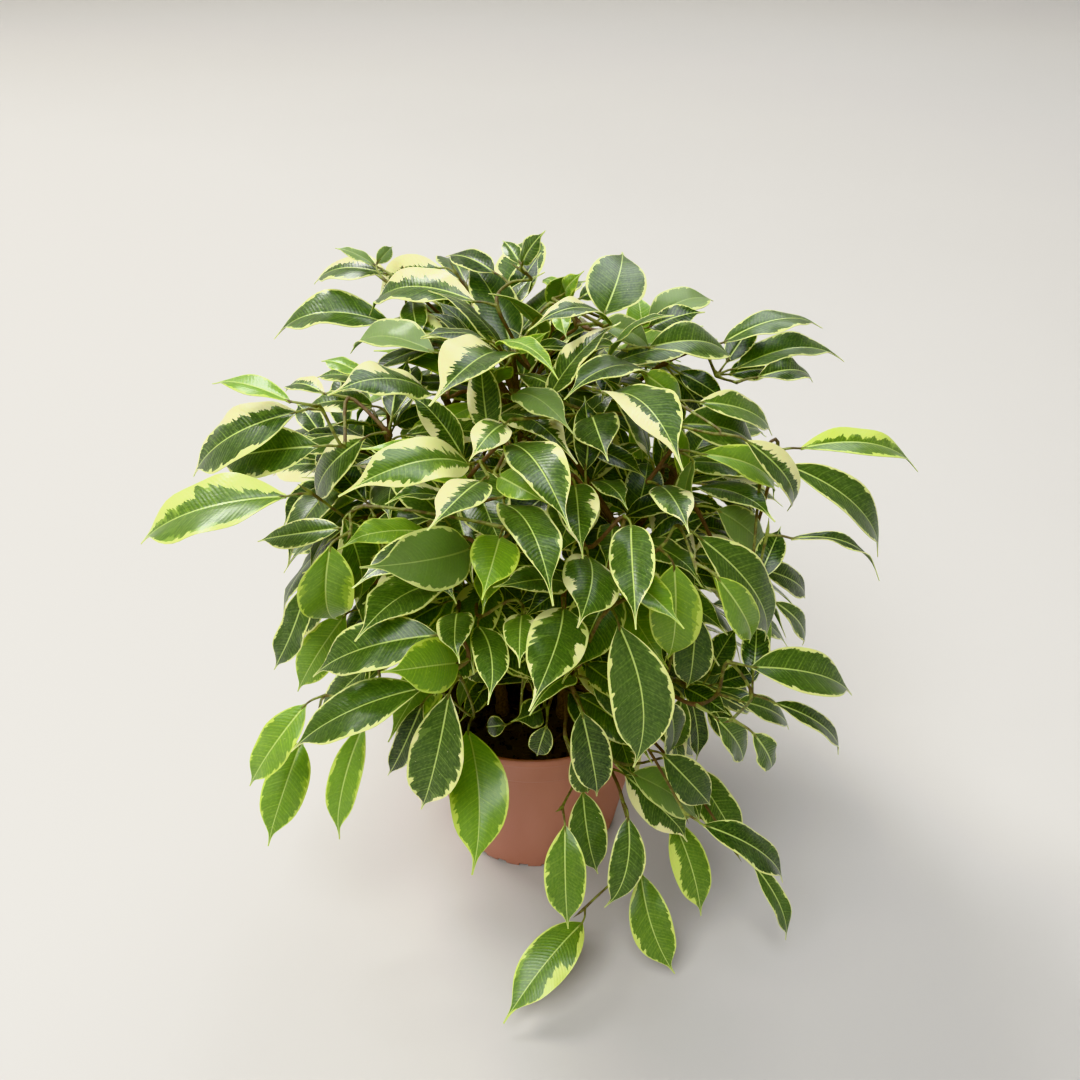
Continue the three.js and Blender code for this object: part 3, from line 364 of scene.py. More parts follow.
# The space round the plant in small cells. Points are set close enough to pass over none.
CELL = 2.5
SAMPLE = 2
REACH = 210
HEADROOM = 340
ROW = round(2 * REACH / CELL)
COLUMN = round(HEADROOM / CELL)
CELLS = ROW * ROW * COLUMN
NEAR = (-1, 0, 1)
NEIGHBOURS = np.array([(i * ROW + j) * COLUMN + k for i in NEAR for j in NEAR for k in NEAR])
POT_OWNER = len(STEMS)
ALL_OWNERS = 0xFFFF

# Axes: upwards, and those of the viewpoint.
UP = np.array([0.0, 0.0, 1.0])
SIGHT_AHEAD = np.array([
    math.sin(LOOK_RIGHT) * math.cos(LOOK_DOWN),
    math.cos(LOOK_RIGHT) * math.cos(LOOK_DOWN),
    -math.sin(LOOK_DOWN),
])
SIGHT_RIGHT = np.array([math.cos(LOOK_RIGHT), -math.sin(LOOK_RIGHT), 0.0])
SIGHT_ABOVE = np.cross(SIGHT_RIGHT, SIGHT_AHEAD)


def unit(vector):
    return vector / math.sqrt(vector.dot(vector))


def outwards(place):
    return unit(np.array([place[0], place[1], 0.0]))


def distance(a, b):
    return math.sqrt(((a - b) ** 2).sum())


def between(ends, share):
    return ends[0] + (ends[1] - ends[0]) * share


def aside(turn):
    """The level direction at an angle from +X."""
    return np.array([math.cos(turn), math.sin(turn), 0.0])


class Dice:
    """Random draws between 0 and 1, the same for a seed each time."""

    MULTIPLIER = 16807
    MODULUS = 2147483647

    def __init__(self, seed):
        self.state = seed

    def draw(self):
        self.state = self.state * self.MULTIPLIER % self.MODULUS
        return self.state / self.MODULUS

    def spread(self):
        """A draw between -0.5 and 0.5."""
        return self.draw() - 0.5


class Leaf:
    """Where a leaf grows from its twig, its base, its tip and how it faces."""

    def __init__(self, node, base, tip, facing, width, finish="rule", arch=LEAF_ARCH, sway=0.0):
        self.node, self.base, self.tip = node, base, tip
        self.width, self.arch, self.sway = width, arch, sway
        self.finish, self.by_rule = finish, finish == "rule"
        self.length = distance(base, tip)
        self.along = unit(tip - base)
        self.normal = unit(facing - self.along * facing.dot(self.along))
        self.side = np.cross(self.along, self.normal)
        self.place = 0

    def half_width(self, u):
        return np.interp(u, OUTLINE_PLACES, OUTLINE_SHARES) * self.width * 0.5

    def points(self):
        """Points all over the blade, close enough to pass over none of its cells."""
        rows = math.ceil(self.length / SAMPLE)
        u = np.arange(1, rows + 1) / rows
        halves = np.maximum(1, np.ceil(self.half_width(u) / SAMPLE))
        counts = (2 * halves + 1).astype(int)
        row = np.repeat(np.arange(rows), counts)
        first = np.repeat(np.cumsum(counts) - counts, counts)
        v = (np.arange(len(row)) - first) / halves[row] - 1
        u = u[row]
        across = self.half_width(u) * v
        bow = 4 * u * (1 - u) * self.length
        off_line = across + bow * self.sway
        lift = bow * self.arch + LEAF_FOLD * np.abs(across)
        middle = self.base + (self.tip - self.base) * u[:, None]
        return middle + self.side * off_line[:, None] + self.normal * lift[:, None]

    def within(self):
        """Whether its base and its tip are seen inside the crown's outline."""
        return inside_outline(self.tip) and inside_outline(self.base)

    @functools.cached_property
    def blade(self):
        """The cells that the blade lies in."""
        return cells_of(self.points())

    @functools.cached_property
    def stalk(self):
        """The cells that the petiole lies in."""
        return cells_of(points_along([self.node, self.base]))


class Shoot:
    """A twig's way from its stem outwards, the leaves along it, and the cells that they take."""

    def __init__(self, owner):
        self.owner = owner
        self.way, self.leaves = [], []
        self.blades = np.zeros(CELLS, bool)
        self.wood = np.zeros(CELLS, bool)


class Cheapest:
    """The cheapest of what is offered, and the first of equals."""

    def __init__(self):
        self.cost, self.found = math.inf, None

    def offer(self, cost, found):
        if cost < self.cost:
            self.cost, self.found = cost, found


def cells_of(points):
    at = np.asarray(points)
    i = np.floor((at[:, 0] + REACH) / CELL)
    j = np.floor((at[:, 1] + REACH) / CELL)
    return np.unique(((i * ROW + j) * COLUMN + np.floor(at[:, 2] / CELL)).astype(int))


def widened(cells):
    return (cells[:, None] + NEIGHBOURS).ravel()


def points_along(way):
    found = []
    for start, end in zip(way, way[1:]):
        steps = math.ceil(distance(start, end) / SAMPLE)
        shares = np.arange(steps + 1) / max(steps, 1)
        found.append(start + (end - start) * shares[:, None])
    return np.concatenate(found)


def pot_radius(z):
    return POT_FOOT_RADIUS + (POT_LIP_RADIUS - POT_FOOT_RADIUS) * z / POT_HEIGHT


def pot_inside(z):
    return pot_radius(z) - POT_WALL


def full_turn(count):
    return 2 * math.pi * np.arange(count) / count


def ring(radius, turns, heights):
    return np.stack([radius * np.cos(turns), radius * np.sin(turns), heights + 0 * turns], axis=1)


def ring_cells(radius, z):
    return cells_of(ring(radius, full_turn(math.ceil(2 * math.pi * radius / SAMPLE)), z))


def stem_point(stem, z):
    _, foot, top = stem
    t = max(0, (z - SOIL_TOP) / (top[2] - SOIL_TOP))
    x, y = (foot[i] + (top[i] - foot[i]) * t * t for i in range(2))
    return np.array([x, y, float(z)])


def stem_way(stem):
    rise = stem[2][2] - SOIL_TOP
    return [stem_point(stem, SOIL_TOP + rise * i / STEM_STEPS) for i in range(STEM_STEPS + 1)]


def shoot_root(stem, reach):
    """The place on a stem where a shoot that reaches a point leaves it."""
    top = stem[2]
    away = math.hypot(reach[0] - top[0] * ROOT_PULL, reach[1] - top[1] * ROOT_PULL)
    z = max(reach[2] - SHOOT_RISE * away, SHOOT_LOWEST)
    return stem_point(stem, min(z, top[2] - SHOOT_BELOW_TOP))


def arched_way(start, end, arch):
    crest = start + (end - start) * 0.5 + UP * arch * distance(start, end)
    way = []
    for t in (i / ARCH_STEPS for i in range(ARCH_STEPS + 1)):
        near, far = start + (crest - start) * t, crest + (end - crest) * t
        way.append(near + (far - near) * t)
    return way


def sight(x, y):
    """The direction from the viewpoint through a pixel."""
    right, above = SIGHT_RIGHT * (x - CENTRE_PX), SIGHT_ABOVE * (CENTRE_PX - y)
    return unit(SIGHT_AHEAD * FOCAL_PX + right + above)


def pixel_of(place):
    seen = place - EYE
    scale = FOCAL_PX / seen.dot(SIGHT_AHEAD)
    return CENTRE_PX + scale * seen.dot(SIGHT_RIGHT), CENTRE_PX - scale * seen.dot(SIGHT_ABOVE)


def on_ellipsoid(direction, layer, radii):
    start = (EYE - CROWN_CENTRE) / radii
    way = direction / radii
    a, b = way.dot(way), start.dot(way)
    room = b * b - a * (start.dot(start) - layer * layer)
    return EYE + direction * ((-b - math.sqrt(max(room, 0))) / a)


def on_layer(direction, layer):
    """Where a line of sight meets a layer of the crown, or passes it closest."""
    place = on_ellipsoid(direction, layer, CROWN_RADII)
    return place if place[2] > CROWN_CENTRE[2] else on_ellipsoid(direction, layer, SKIRT_RADII)


def turned_about(vector, axis, angle):
    """A vector at right angles to an axis, turned about it."""
    return vector * math.cos(angle) + np.cross(axis, vector) * math.sin(angle)


def leaf_in_view(row, shift):
    """A leaf whose base lies on its layer of the crown, and its tip on its own line of sight."""
    base_x, base_y, tip_x, tip_y, layer, length, width, roll, arch, sway, finish = row
    base = on_layer(sight(base_x, base_y), layer + shift)
    way = sight(tip_x, tip_y)
    nearest = EYE + way * (base - EYE).dot(way)
    spare = math.sqrt(max(length * length - ((nearest - base) ** 2).sum(), 0))
    hang = unit(outwards(base) - UP)
    ends = [nearest + way * d for d in (-spare, spare)]
    tip = ends[0] if ends[0].dot(hang) > ends[1].dot(hang) else ends[1]
    along = unit(tip - base)
    to_eye = unit(EYE - base)
    facing = turned_about(unit(to_eye - along * to_eye.dot(along)), along, math.radians(roll))
    onwards, out, up = PETIOLE_WAY
    rise = unit(along * onwards + outwards(base) * out + UP * up)
    node = base - rise * PETIOLE_LENGTH
    return Leaf(node, base, tip, facing, width, finish, arch / 100, sway / 100)


def inside_outline(place):
    """Whether a place is seen inside the crown's outline."""
    x, y = pixel_of(place)
    inside = False
    for i, (x1, y1) in enumerate(CROWN_OUTLINE):
        x0, y0 = CROWN_OUTLINE[i - 1]
        if (y0 > y) != (y1 > y) and x < x0 + (x1 - x0) * (y - y0) / (y1 - y0):
            inside = not inside
    return inside


def leaf_in_gap(node, middle, way, slant):
    """A leaf in painted shade from a node of a twig across a line of sight, through the middle
    given.
    """
    along = unit(unit(middle - node) + way * slant)
    base = node + along * SMALL_PETIOLE
    length = max(SMALL_LENGTHS[0], 2 * distance(base, middle))
    facing = UP * FACING_UP - way
    return Leaf(node, base, base + along * length, facing, length * GAP_WIDTH, "shade")


def nearest_stem(place):
    distances = [distance(place, np.array(top, float)) for _, _, top in STEMS]
    return distances.index(min(distances))


class Growth:
    """Grows the shoots in the same order and by the same rules as the solids, then more leaves.

    It keeps whose pieces lie in or beside each cell, and whether a blade or wood lies in it.
    """

    def __init__(self):
        self.owners = np.zeros(CELLS, np.uint16)
        self.blades = np.zeros(CELLS, bool)
        self.wood = np.zeros(CELLS, bool)
        self.stem_shoots = []
        self.claim_pot()
        for owner, stem in enumerate(STEMS):
            self.claim_wood(cells_of(points_along(stem_way(stem)[1:])), owner)
        self.shoots = [Shoot(stem) for stem, _ in SHOOTS_IN_VIEW]
        apart = []
        for shoot, (_, rows) in zip(self.shoots, SHOOTS_IN_VIEW):
            apart += self.grow_in_view(shoot, rows)
        self.shoots += [self.grow_apart(row) for row in apart]
        self.shoots += [self.grow_by_rule(index) for index in range(RULE_SHOOTS)]
        self.shoots = [shoot for shoot in self.shoots if shoot.leaves]

    def claim(self, cells, owner):
        self.owners[widened(cells)] |= np.uint16(1 << owner)

    def claim_wood(self, cells, owner):
        self.claim(cells, owner)
        self.wood[cells] = True

    def claim_leaf(self, leaf, twig, owner):
        self.claim_wood(twig, owner)
        self.claim(leaf.blade, owner)
        self.blades[leaf.blade] = True

    def claim_pot(self):
        z = 0
        while z < POT_HEIGHT + CELL:
            radius = pot_radius(z) if z < SOIL_TOP else pot_inside(z)
            while radius <= pot_radius(z) + 1:
                self.claim(ring_cells(radius, z), POT_OWNER)
                radius += 1
            z += SAMPLE
        for radius in range(SAMPLE, math.ceil(pot_radius(SOIL_TOP)), SAMPLE):
            self.claim(ring_cells(radius, SOIL_TOP), POT_OWNER)

    def strangers(self, cells, owner):
        return np.count_nonzero(self.owners[cells] & np.uint16(ALL_OWNERS ^ (1 << owner)))

    def crossed(self, cells):
        return np.count_nonzero(self.blades[cells])

    def taken(self, leaf):
        return np.count_nonzero(self.blades[leaf.blade] | self.wood[leaf.blade])

    def in_pot(self, leaf):
        return np.any(self.owners[leaf.blade] & np.uint16(1 << POT_OWNER))

    def cost_of(self, shoot, leaf, twig):
        own = np.count_nonzero(shoot.blades[leaf.blade] | shoot.wood[leaf.blade])
        spoiled = np.count_nonzero(shoot.blades[twig])
        alien = self.strangers(leaf.blade, shoot.owner) + self.strangers(twig, shoot.owner)
        crossed = self.crossed(leaf.blade) + self.crossed(twig)
        return STRANGER_COST * alien + OWN_COST * (own + spoiled) + crossed

    def keep(self, shoot, leaf, twig, way):
        shoot.way += way[1:] if shoot.way else way
        leaf.place = len(shoot.way) - 1
        shoot.leaves.append(leaf)
        self.claim_leaf(leaf, twig, shoot.owner)
        shoot.blades[widened(leaf.blade)] = True
        shoot.wood[widened(cells_of(points_along(way)))] = True

    def best_leaf(self, shoot, row):
        best = Cheapest()
        for shift in LAYER_SHIFTS:
            leaf = leaf_in_view(row, shift)
            if shoot.way:
                ways = [[shoot.way[-1], leaf.node]]
            else:
                root = shoot_root(STEMS[shoot.owner], leaf.node)
                ways = [arched_way(root, leaf.node, arch) for arch in TWIG_ARCHES]
            for way in ways:
                twig = cells_of(points_along([*way, leaf.base]))
                best.offer(self.cost_of(shoot, leaf, twig), (leaf, twig, way))
        return best

    def grow_in_view(self, shoot, rows):
        """Grows a shoot in view from its stem out, and returns the leaves that don't fit."""
        apart = []
        for row in rows:
            best = self.best_leaf(shoot, row)
            if best.cost < OWN_COST:
                self.keep(shoot, *best.found)
            else:
                apart.append(row)
        return apart

    def grow_apart(self, row):
        """A twig for a leaf that didn't fit, from whichever stem has a free way to it."""
        best = Cheapest()
        for owner in range(len(STEMS)):
            shoot = Shoot(owner)
            leaf = self.best_leaf(shoot, row)
            best.offer(leaf.cost, (shoot, leaf.found))
        shoot, found = best.found
        if best.cost < OWN_COST:
            self.keep(shoot, *found)
        return shoot

    def grow_by_rule(self, index):
        """A shoot that ends on an inner layer of the crown, with leaves by turns left and right."""
        dice = Dice(index * SEED_STEP + SEED_START)
        dice.draw()
        rise = 1 - (index + 0.5) / RULE_SHOOTS * RULE_SPAN
        turn = index * GOLDEN_ANGLE + dice.draw()
        direction = aside(turn) * math.sqrt(1 - rise * rise) + UP * rise
        front = direction.dot(unit(EYE - CROWN_CENTRE)) > FRONT_SHARE
        layer = (FRONT_LAYER if front else BACK_LAYER) + LAYER_SPREAD * dice.draw()
        end = CROWN_CENTRE + direction * (CROWN_RADII if rise > 0 else SKIRT_RADII) * layer
        owner = nearest_stem(end)
        root = shoot_root(STEMS[owner], end)
        best = Cheapest()
        for arch in TWIG_ARCHES:
            way = arched_way(root, end, arch)
            wood = cells_of(points_along(way))
            cost = STRANGER_COST * self.strangers(wood, owner) + self.crossed(wood)
            best.offer(cost, (way, wood))
        shoot = Shoot(owner)
        if best.cost > CROSSINGS_ALLOWED:
            return shoot
        shoot.way, wood = best.found
        shoot.wood[widened(wood)] = True
        for place in range(len(shoot.way) - 1, 0, -1):
            self.leaf_by_rule(shoot, place, direction, dice)
        if len(shoot.leaves) < FEWEST_LEAVES:
            return Shoot(owner)
        self.claim_wood(wood, owner)
        for leaf in shoot.leaves:
            self.claim_leaf(leaf, leaf.stalk, owner)
        return shoot

    def leaf_by_rule(self, shoot, place, direction, dice):
        """A leaf at one place of a twig, or none where it would cross too much."""
        node, last = shoot.way[place], len(shoot.way) - 1
        twig = unit(shoot.way[last] - shoot.way[last - 1])
        sideways = unit(np.cross(twig, UP))
        hand = 1 if place % 2 else -1
        reach = hand * (SPREAD_ASIDE if place < last else SPREAD_AT_END)
        length = LEAF_LENGTH * between(LENGTH_SHARES, dice.draw())
        width = LEAF_WIDTH * between(WIDTH_SHARES, dice.draw())
        best = Cheapest()
        for _ in range(LEAF_TRIALS):
            spread = reach + SPREAD_PLAY * dice.spread()
            droop = between(DROOPS, dice.draw())
            along = unit(twig * ONWARDS + direction * OUTWARDS + sideways * spread - UP * droop)
            turned = sideways * FACING_PLAY * dice.spread()
            facing = unit(UP * FACING_UP + direction * FACING_OUT + turned)
            base = node + unit(along + UP * PETIOLE_RISE) * PETIOLE_LENGTH
            leaf = Leaf(node, base, base + along * length, facing, width)
            leaf.place = place
            fits = leaf.within() and leaf.tip[2] > LOWEST_BY_RULE
            cost = self.cost_of(shoot, leaf, leaf.stalk) + (0 if fits else STRANGER_COST)
            best.offer(cost, leaf)
        if best.cost <= CROSSINGS_ALLOWED:
            shoot.leaves.append(best.found)
            shoot.blades[widened(best.found.blade)] = True

    def place_leaf(self, shoot, leaf):
        shoot.leaves.append(leaf)
        self.blades[leaf.blade] = True
        self.wood[leaf.stalk] = True

    def small_leaf(self, shoot, node, outward, dice):
        """A small leaf that crosses nothing, or nothing at all where there is no room."""
        length = between(SMALL_LENGTHS, dice.draw())
        best = Cheapest()
        for _ in range(SMALL_TRIALS):
            around = aside(2 * math.pi * dice.draw()) * SMALL_AROUND
            droop = between(SMALL_DROOPS, dice.draw())
            along = unit(outward * SMALL_OUT + around - UP * droop)
            facing = unit(UP * FACING_UP + outward * FACING_OUT + around * dice.spread())
            base = node + unit(along + UP * PETIOLE_RISE) * SMALL_PETIOLE
            leaf = Leaf(node, base, base + along * length, facing, length * SMALL_WIDTH)
            fits = leaf.within() and not self.in_pot(leaf)
            best.offer(self.taken(leaf) + (0 if fits else STRANGER_COST), leaf)
        if best.cost <= CROSSINGS_ALLOWED:
            self.place_leaf(shoot, best.found)

    def fill_inside(self):
        """Small leaves at the bare nodes of the twigs, and up the stems."""
        for index, shoot in enumerate(self.shoots):
            dice = Dice(index * SEED_STEP + SMALL_SEED)
            grown = {leaf.place for leaf in shoot.leaves}
            for place, node in enumerate(shoot.way):
                if place and place not in grown:
                    self.small_leaf(shoot, node, unit(node - SMALL_CENTRE), dice)
        for owner, stem in enumerate(STEMS):
            shoot = Shoot(owner)
            dice = Dice((owner + 1) * SEED_STEP)
            turn = dice.draw() * math.pi
            for z in range(STEM_LEAF_LOWEST, stem[2][2], STEM_LEAF_STEP):
                self.small_leaf(shoot, stem_point(stem, z), aside(turn), dice)
                turn += GOLDEN_ANGLE
            self.stem_shoots.append(shoot)

    def fill_gap(self, x, y):
        """A shaded leaf, deep in the crown, across a line of sight on which nothing else lies."""
        way = sight(x, y)
        best = Cheapest()
        for shoot in self.shoots:
            for place, node in enumerate(shoot.way):
                middle = EYE + way * (node - EYE).dot(way)
                if not place or not GAP_REACH[0] < distance(node, middle) < GAP_REACH[1]:
                    continue
                off_depth = abs((middle - CROWN_CENTRE).dot(way) - GAP_DEPTH)
                for slant in GAP_SLANTS:
                    leaf = leaf_in_gap(node, middle, way, slant)
                    leaf.place = place
                    taken = self.taken(leaf)
                    fits = taken < GAP_CROSSINGS and not self.in_pot(leaf)
                    if fits and inside_outline(leaf.tip):
                        best.offer(off_depth + GAP_CROSSING_COST * taken, (shoot, leaf))
        if best.found:
            self.place_leaf(*best.found)


@functools.cache
def grown_plant():
    growth = Growth()
    growth.fill_inside()
    for x, y in GAPS_IN_VIEW:
        growth.fill_gap(x, y)
    return growth


# Meshes. Every point stays inside the solids' own box.
BOX_PLAY = 0.02
BOX_LOW = np.array(FRAME_BOX[0]) / MM + BOX_PLAY
BOX_HIGH = np.array(FRAME_BOX[1]) / MM - BOX_PLAY
SHARP_ANGLE = math.radians(55)
SMALLEST = 1e-9
ASKEW = np.array([0.36, 0.48, 0.8])

# Marks hold distances across a leaf in centimetres, and lengths in decimetres.
CENTIMETRES = 0.1
DECIMETRES = 0.01


class Heap:
    """Points, faces and marks of a piece that is made of many closed shells."""

    def __init__(self):
        self.points, self.faces, self.marks = [], [], {}
        self.count = 0

    def add(self, points, faces, **marks):
        """A shell, and for each mark three values that hold for all points or point by point."""
        self.points.append(np.clip(points, BOX_LOW, BOX_HIGH))
        for block in faces:
            self.faces += (block + self.count).tolist()
        self.count += len(points)
        for name, values in marks.items():
            columns = [np.broadcast_to(value, len(points)) for value in values]
            self.marks.setdefault(name, []).append(np.stack(columns, axis=1))

    def piece(self, name, material, slot, *nodes):
        mesh = mesh_of(name, np.concatenate(self.points) * MM, self.faces)
        for mark, values in self.marks.items():
            layer = mesh.attributes.new(mark, "FLOAT_VECTOR", "POINT")
            layer.data.foreach_set("vector", np.concatenate(values).astype(np.float32).ravel())
        add_piece(name, mesh, material, SHARP_ANGLE, slot, *nodes)


def mesh_of(name, points, faces):
    mesh = bpy.data.meshes.new(name)
    mesh.from_pydata(points.tolist(), [], faces)
    mesh.update()
    return mesh


def linked(name, data):
    """A new object in the scene."""
    thing = bpy.data.objects.new(name, data)
    bpy.context.scene.collection.objects.link(thing)
    return thing


def add_piece(name, mesh, material, sharp_angle, slot, *nodes):
    mesh.shade_smooth()
    mesh.set_sharp_from_angle(angle=sharp_angle)
    mesh.materials.clear()
    mesh.materials.append(material)
    piece = linked(name, mesh)
    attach(piece, "root")
    if nodes:
        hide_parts(*nodes)


def grid_faces(rows, columns, first=0, wrapped=False, flipped=False):
    """The quads of a grid of points, numbered row by row."""
    across = np.arange(columns if wrapped else columns - 1)
    i, j = np.meshgrid(np.arange(rows - 1), across, indexing="ij")
    near, far = i * columns, (i + 1) * columns
    k = (j + 1) % columns
    quads = np.stack([near + j, near + k, far + k, far + j], axis=-1).reshape(-1, 4) + first
    return quads[:, ::-1] if flipped else quads


def closed_faces(rings, sides):
    """The faces of a row of rings, with a fan at each end round one of two more points."""
    j = np.arange(sides)
    k = (j + 1) % sides
    count = rings * sides
    last = count - sides
    start = np.stack([k, j, np.full(sides, count)], axis=1)
    end = np.stack([last + j, last + k, np.full(sides, count + 1)], axis=1)
    return [grid_faces(rings, sides, wrapped=True), start, end]


def smooth(values, low, high):
    t = np.clip((values - low) / (high - low), 0, 1)
    return t * t * (3 - 2 * t)


def smooth_way(way, steps):
    """A smooth line through the points of a way."""
    points = [2 * way[0] - way[1], *way, 2 * way[-1] - way[-2]]
    found = []
    for a, b, c, d in zip(points, points[1:], points[2:], points[3:]):
        for t in np.arange(steps) / steps:
            square = (2 * a - 5 * b + 4 * c - d) * t * t
            cube = (3 * b - a - 3 * c + d) * t * t * t
            found.append(0.5 * (2 * b + (c - a) * t + square + cube))
    return np.array([*found, way[-1]])


def sweep(line, radii, sides):
    """A closed round rod along a line: its points and faces."""
    along = np.gradient(line, axis=0)
    along /= np.linalg.norm(along, axis=1)[:, None]
    side = np.cross(along[0], ASKEW)
    rings = []
    turns = full_turn(sides)[:, None]
    for middle, radius, way in zip(line, radii, along):
        side = unit(side - way * side.dot(way))
        up = np.cross(way, side)
        rings.append(middle + radius * (np.cos(turns) * side + np.sin(turns) * up))
    points = np.concatenate([*rings, line[:1], line[-1:]])
    return points, closed_faces(len(line), sides)


# Blades: each pair is the least and the most that a leaf draws between.
LEAF_DRAWS = (
    "fold", "belly", "phase_right", "phase_left", "turns_right", "turns_left", "wave",
    "curl", "sway", "hook", "twist", "stretch", "seed",
)
FOLDS = (0.02, 0.34)
BELLIES = (0.04, 0.26)
WAVE_TURNS = (1.2, 2.6)
WAVE = 0.8
WAVE_LEAST = 0.5
WAVE_FROM = 0.25
WAVE_LIMIT = 1.2
TIP_CURLS = (-0.01, 0.07)
TIP_HOOKS = (-0.045, 0.045)
TIP_FROM = 0.68
SWAYS = (-0.035, 0.035)
TWISTS = (-0.35, 0.35)
TWIST_CENTRE = 0.3
OUTLINE_STRETCHES = (0.94, 1.17)
TIP_SHARE = 0.03
# Leaves in view fold by how far they arch, and stray less from their place.
VIEW_FOLD = 0.08
VIEW_PLAY = 0.35
FOLD_BY_ARCH = 2.6
# A rounded base, and a narrow tip that drips: place along the midrib and share of half the width.
FINE_OUTLINE = (
    (0, 0.06), (0.05, 0.36), (0.14, 0.7), (0.28, 0.95), (0.42, 1), (0.56, 0.93), (0.68, 0.74),
    (0.76, 0.48), (0.815, 0.27), (0.855, 0.14), (0.9, 0.075), (1, 0.02),
)
ROW_CROWDING = 0.55
RIB_HALF = 0.45
RIB_GROOVE = 0.25
RIB_DEPTH = 0.55
RIB_FADE = 0.7
BLADE_THICKNESS = 0.26
FINE_ROWS = 27
FINE_COLUMNS = (-1, -0.9, -0.7, -0.45, -0.22, -0.08, 0, 0.08, 0.22, 0.45, 0.7, 0.9, 1)
PLAIN_ROWS = 17
PLAIN_COLUMNS = (-1, -0.8, -0.45, -0.1, 0, 0.1, 0.45, 0.8, 1)

# Finishes: cream on either side, youth, dullness and lightness.
FINISHES = {
    "rim": (0.12, 0.16, 0.12, 0, 0.5),
    "half": (0.95, 0.3, 0.05, 0, 0.45),
    "patch": (0.55, 0.4, 0.1, 0, 0.5),
    "cream": (0.8, 0.6, 0.35, 0, 0.6),
    "lime": (0.25, 0.3, 0.95, 0.1, 0.6),
    "glossy": (0.1, 0.15, 0.0, 0, 0.55),
    "dark": (0.05, 0.08, 0.0, 0, 0.2),
    "sage": (0.2, 0.25, 0.3, 1, 0.9),
    # The "shade" finish is painted shade: a very dark tone for the leaves that close gaps in the
    # crown.
    "shade": (0.1, 0.12, 0.0, 0, 0.1),
    "gold": (1.0, 0.3, 0.45, 0, 0.1),
    "spring": (0.12, 0.6, 0.5, 0.05, 0.6),
    # The "sheen" finish is a painted sheen: a pale, dull green that stands in for a light's
    # reflection.
    "sheen": (0.1, 0.15, 0.2, 0.8, 1),
}
# A leaf by rule takes the first finish whose number isn't below its draw.
FINISH_SHARES = (
    ("rim", 0.34), ("patch", 0.56), ("half", 0.72), ("dark", 0.86), ("glossy", 0.92), ("lime", 1),
)
CREAM_SPREADS = (0.7, 1.3)
YOUTH_SPREADS = (0.8, 1.2)
TONE_SPREAD = 0.24
# How much painted shade darkens the leaves by rule deep inside the crown.
INNER_PAINTED_SHADE = 2.0
LEAF_SEED, LEAF_SEED_STEP = 13, 977


def leaf_outline(u):
    """The half width of a leaf as a share of its widest, on a smooth line through the outline."""
    places, shares = np.array(FINE_OUTLINE).T
    slopes = np.gradient(shares, places)
    at = np.clip(np.searchsorted(places, u) - 1, 0, len(places) - 2)
    span = places[at + 1] - places[at]
    t = (u - places[at]) / span
    left = 1 - t
    start = (1 + 2 * t) * left**2 * shares[at] + t * left**2 * span * slopes[at]
    end = t * t * (3 - 2 * t) * shares[at + 1] + t * t * (t - 1) * span * slopes[at + 1]
    return np.maximum(start + end, TIP_SHARE)


def rib_shape(across):
    return np.exp(-((across / RIB_HALF) ** 2))


def blade_grid(leaf, draw, rows, columns):
    """The points of a blade's upper side, and for each how far along and across the blade it is."""
    u = np.linspace(0, 1, rows)
    u = (u - ROW_CROWDING * np.sin(2 * np.pi * u) / (2 * np.pi))[:, None]
    v = np.array(columns)[None, :]
    widest = leaf.width * 0.5
    half = leaf_outline(u ** between(OUTLINE_STRETCHES, draw["stretch"])) * widest
    across = half * v
    fold, play = between(FOLDS, draw["fold"]), 1
    if not leaf.by_rule:
        play = VIEW_PLAY
        arched = FOLD_BY_ARCH * max(0, leaf.arch - LEAF_ARCH)
        fold = VIEW_FOLD + arched + VIEW_PLAY * (fold - FOLDS[0])
    curve = np.abs(across) * fold - between(BELLIES, draw["belly"]) * across**2 / widest
    wave = WAVE * leaf.length / LEAF_LENGTH * (WAVE_LEAST + draw["wave"])
    for hand, side in ((1, "right"), (-1, "left")):
        edge = smooth(v * hand, WAVE_FROM, 1.0) * np.minimum(1, half / widest * WAVE_LIMIT)
        turns = between(WAVE_TURNS, draw["turns_" + side]) * u + draw["phase_" + side]
        curve = curve + edge * wave * np.sin(2 * np.pi * turns)
    end = smooth(u, TIP_FROM, 1.0) ** 2 * leaf.length * play
    curve = curve - end * between(TIP_CURLS, draw["curl"])
    bow = 4 * u * (1 - u) * leaf.length
    sway = bow * (leaf.sway + play * between(SWAYS, draw["sway"]))
    sway = sway + end * between(TIP_HOOKS, draw["hook"])
    angle = play * between(TWISTS, draw["twist"]) * (u - TWIST_CENTRE)
    x = across * np.cos(angle) - curve * np.sin(angle) + sway
    y = leaf.length * u
    z = bow * leaf.arch + curve * np.cos(angle) + across * np.sin(angle)
    z = z - RIB_GROOVE * rib_shape(across) * (1 - u)
    x, y, z = (values[..., None] for values in (x, y, z))
    points = leaf.base + x * leaf.side + y * leaf.along + z * leaf.normal
    return points, *np.broadcast_arrays(u, v, across)


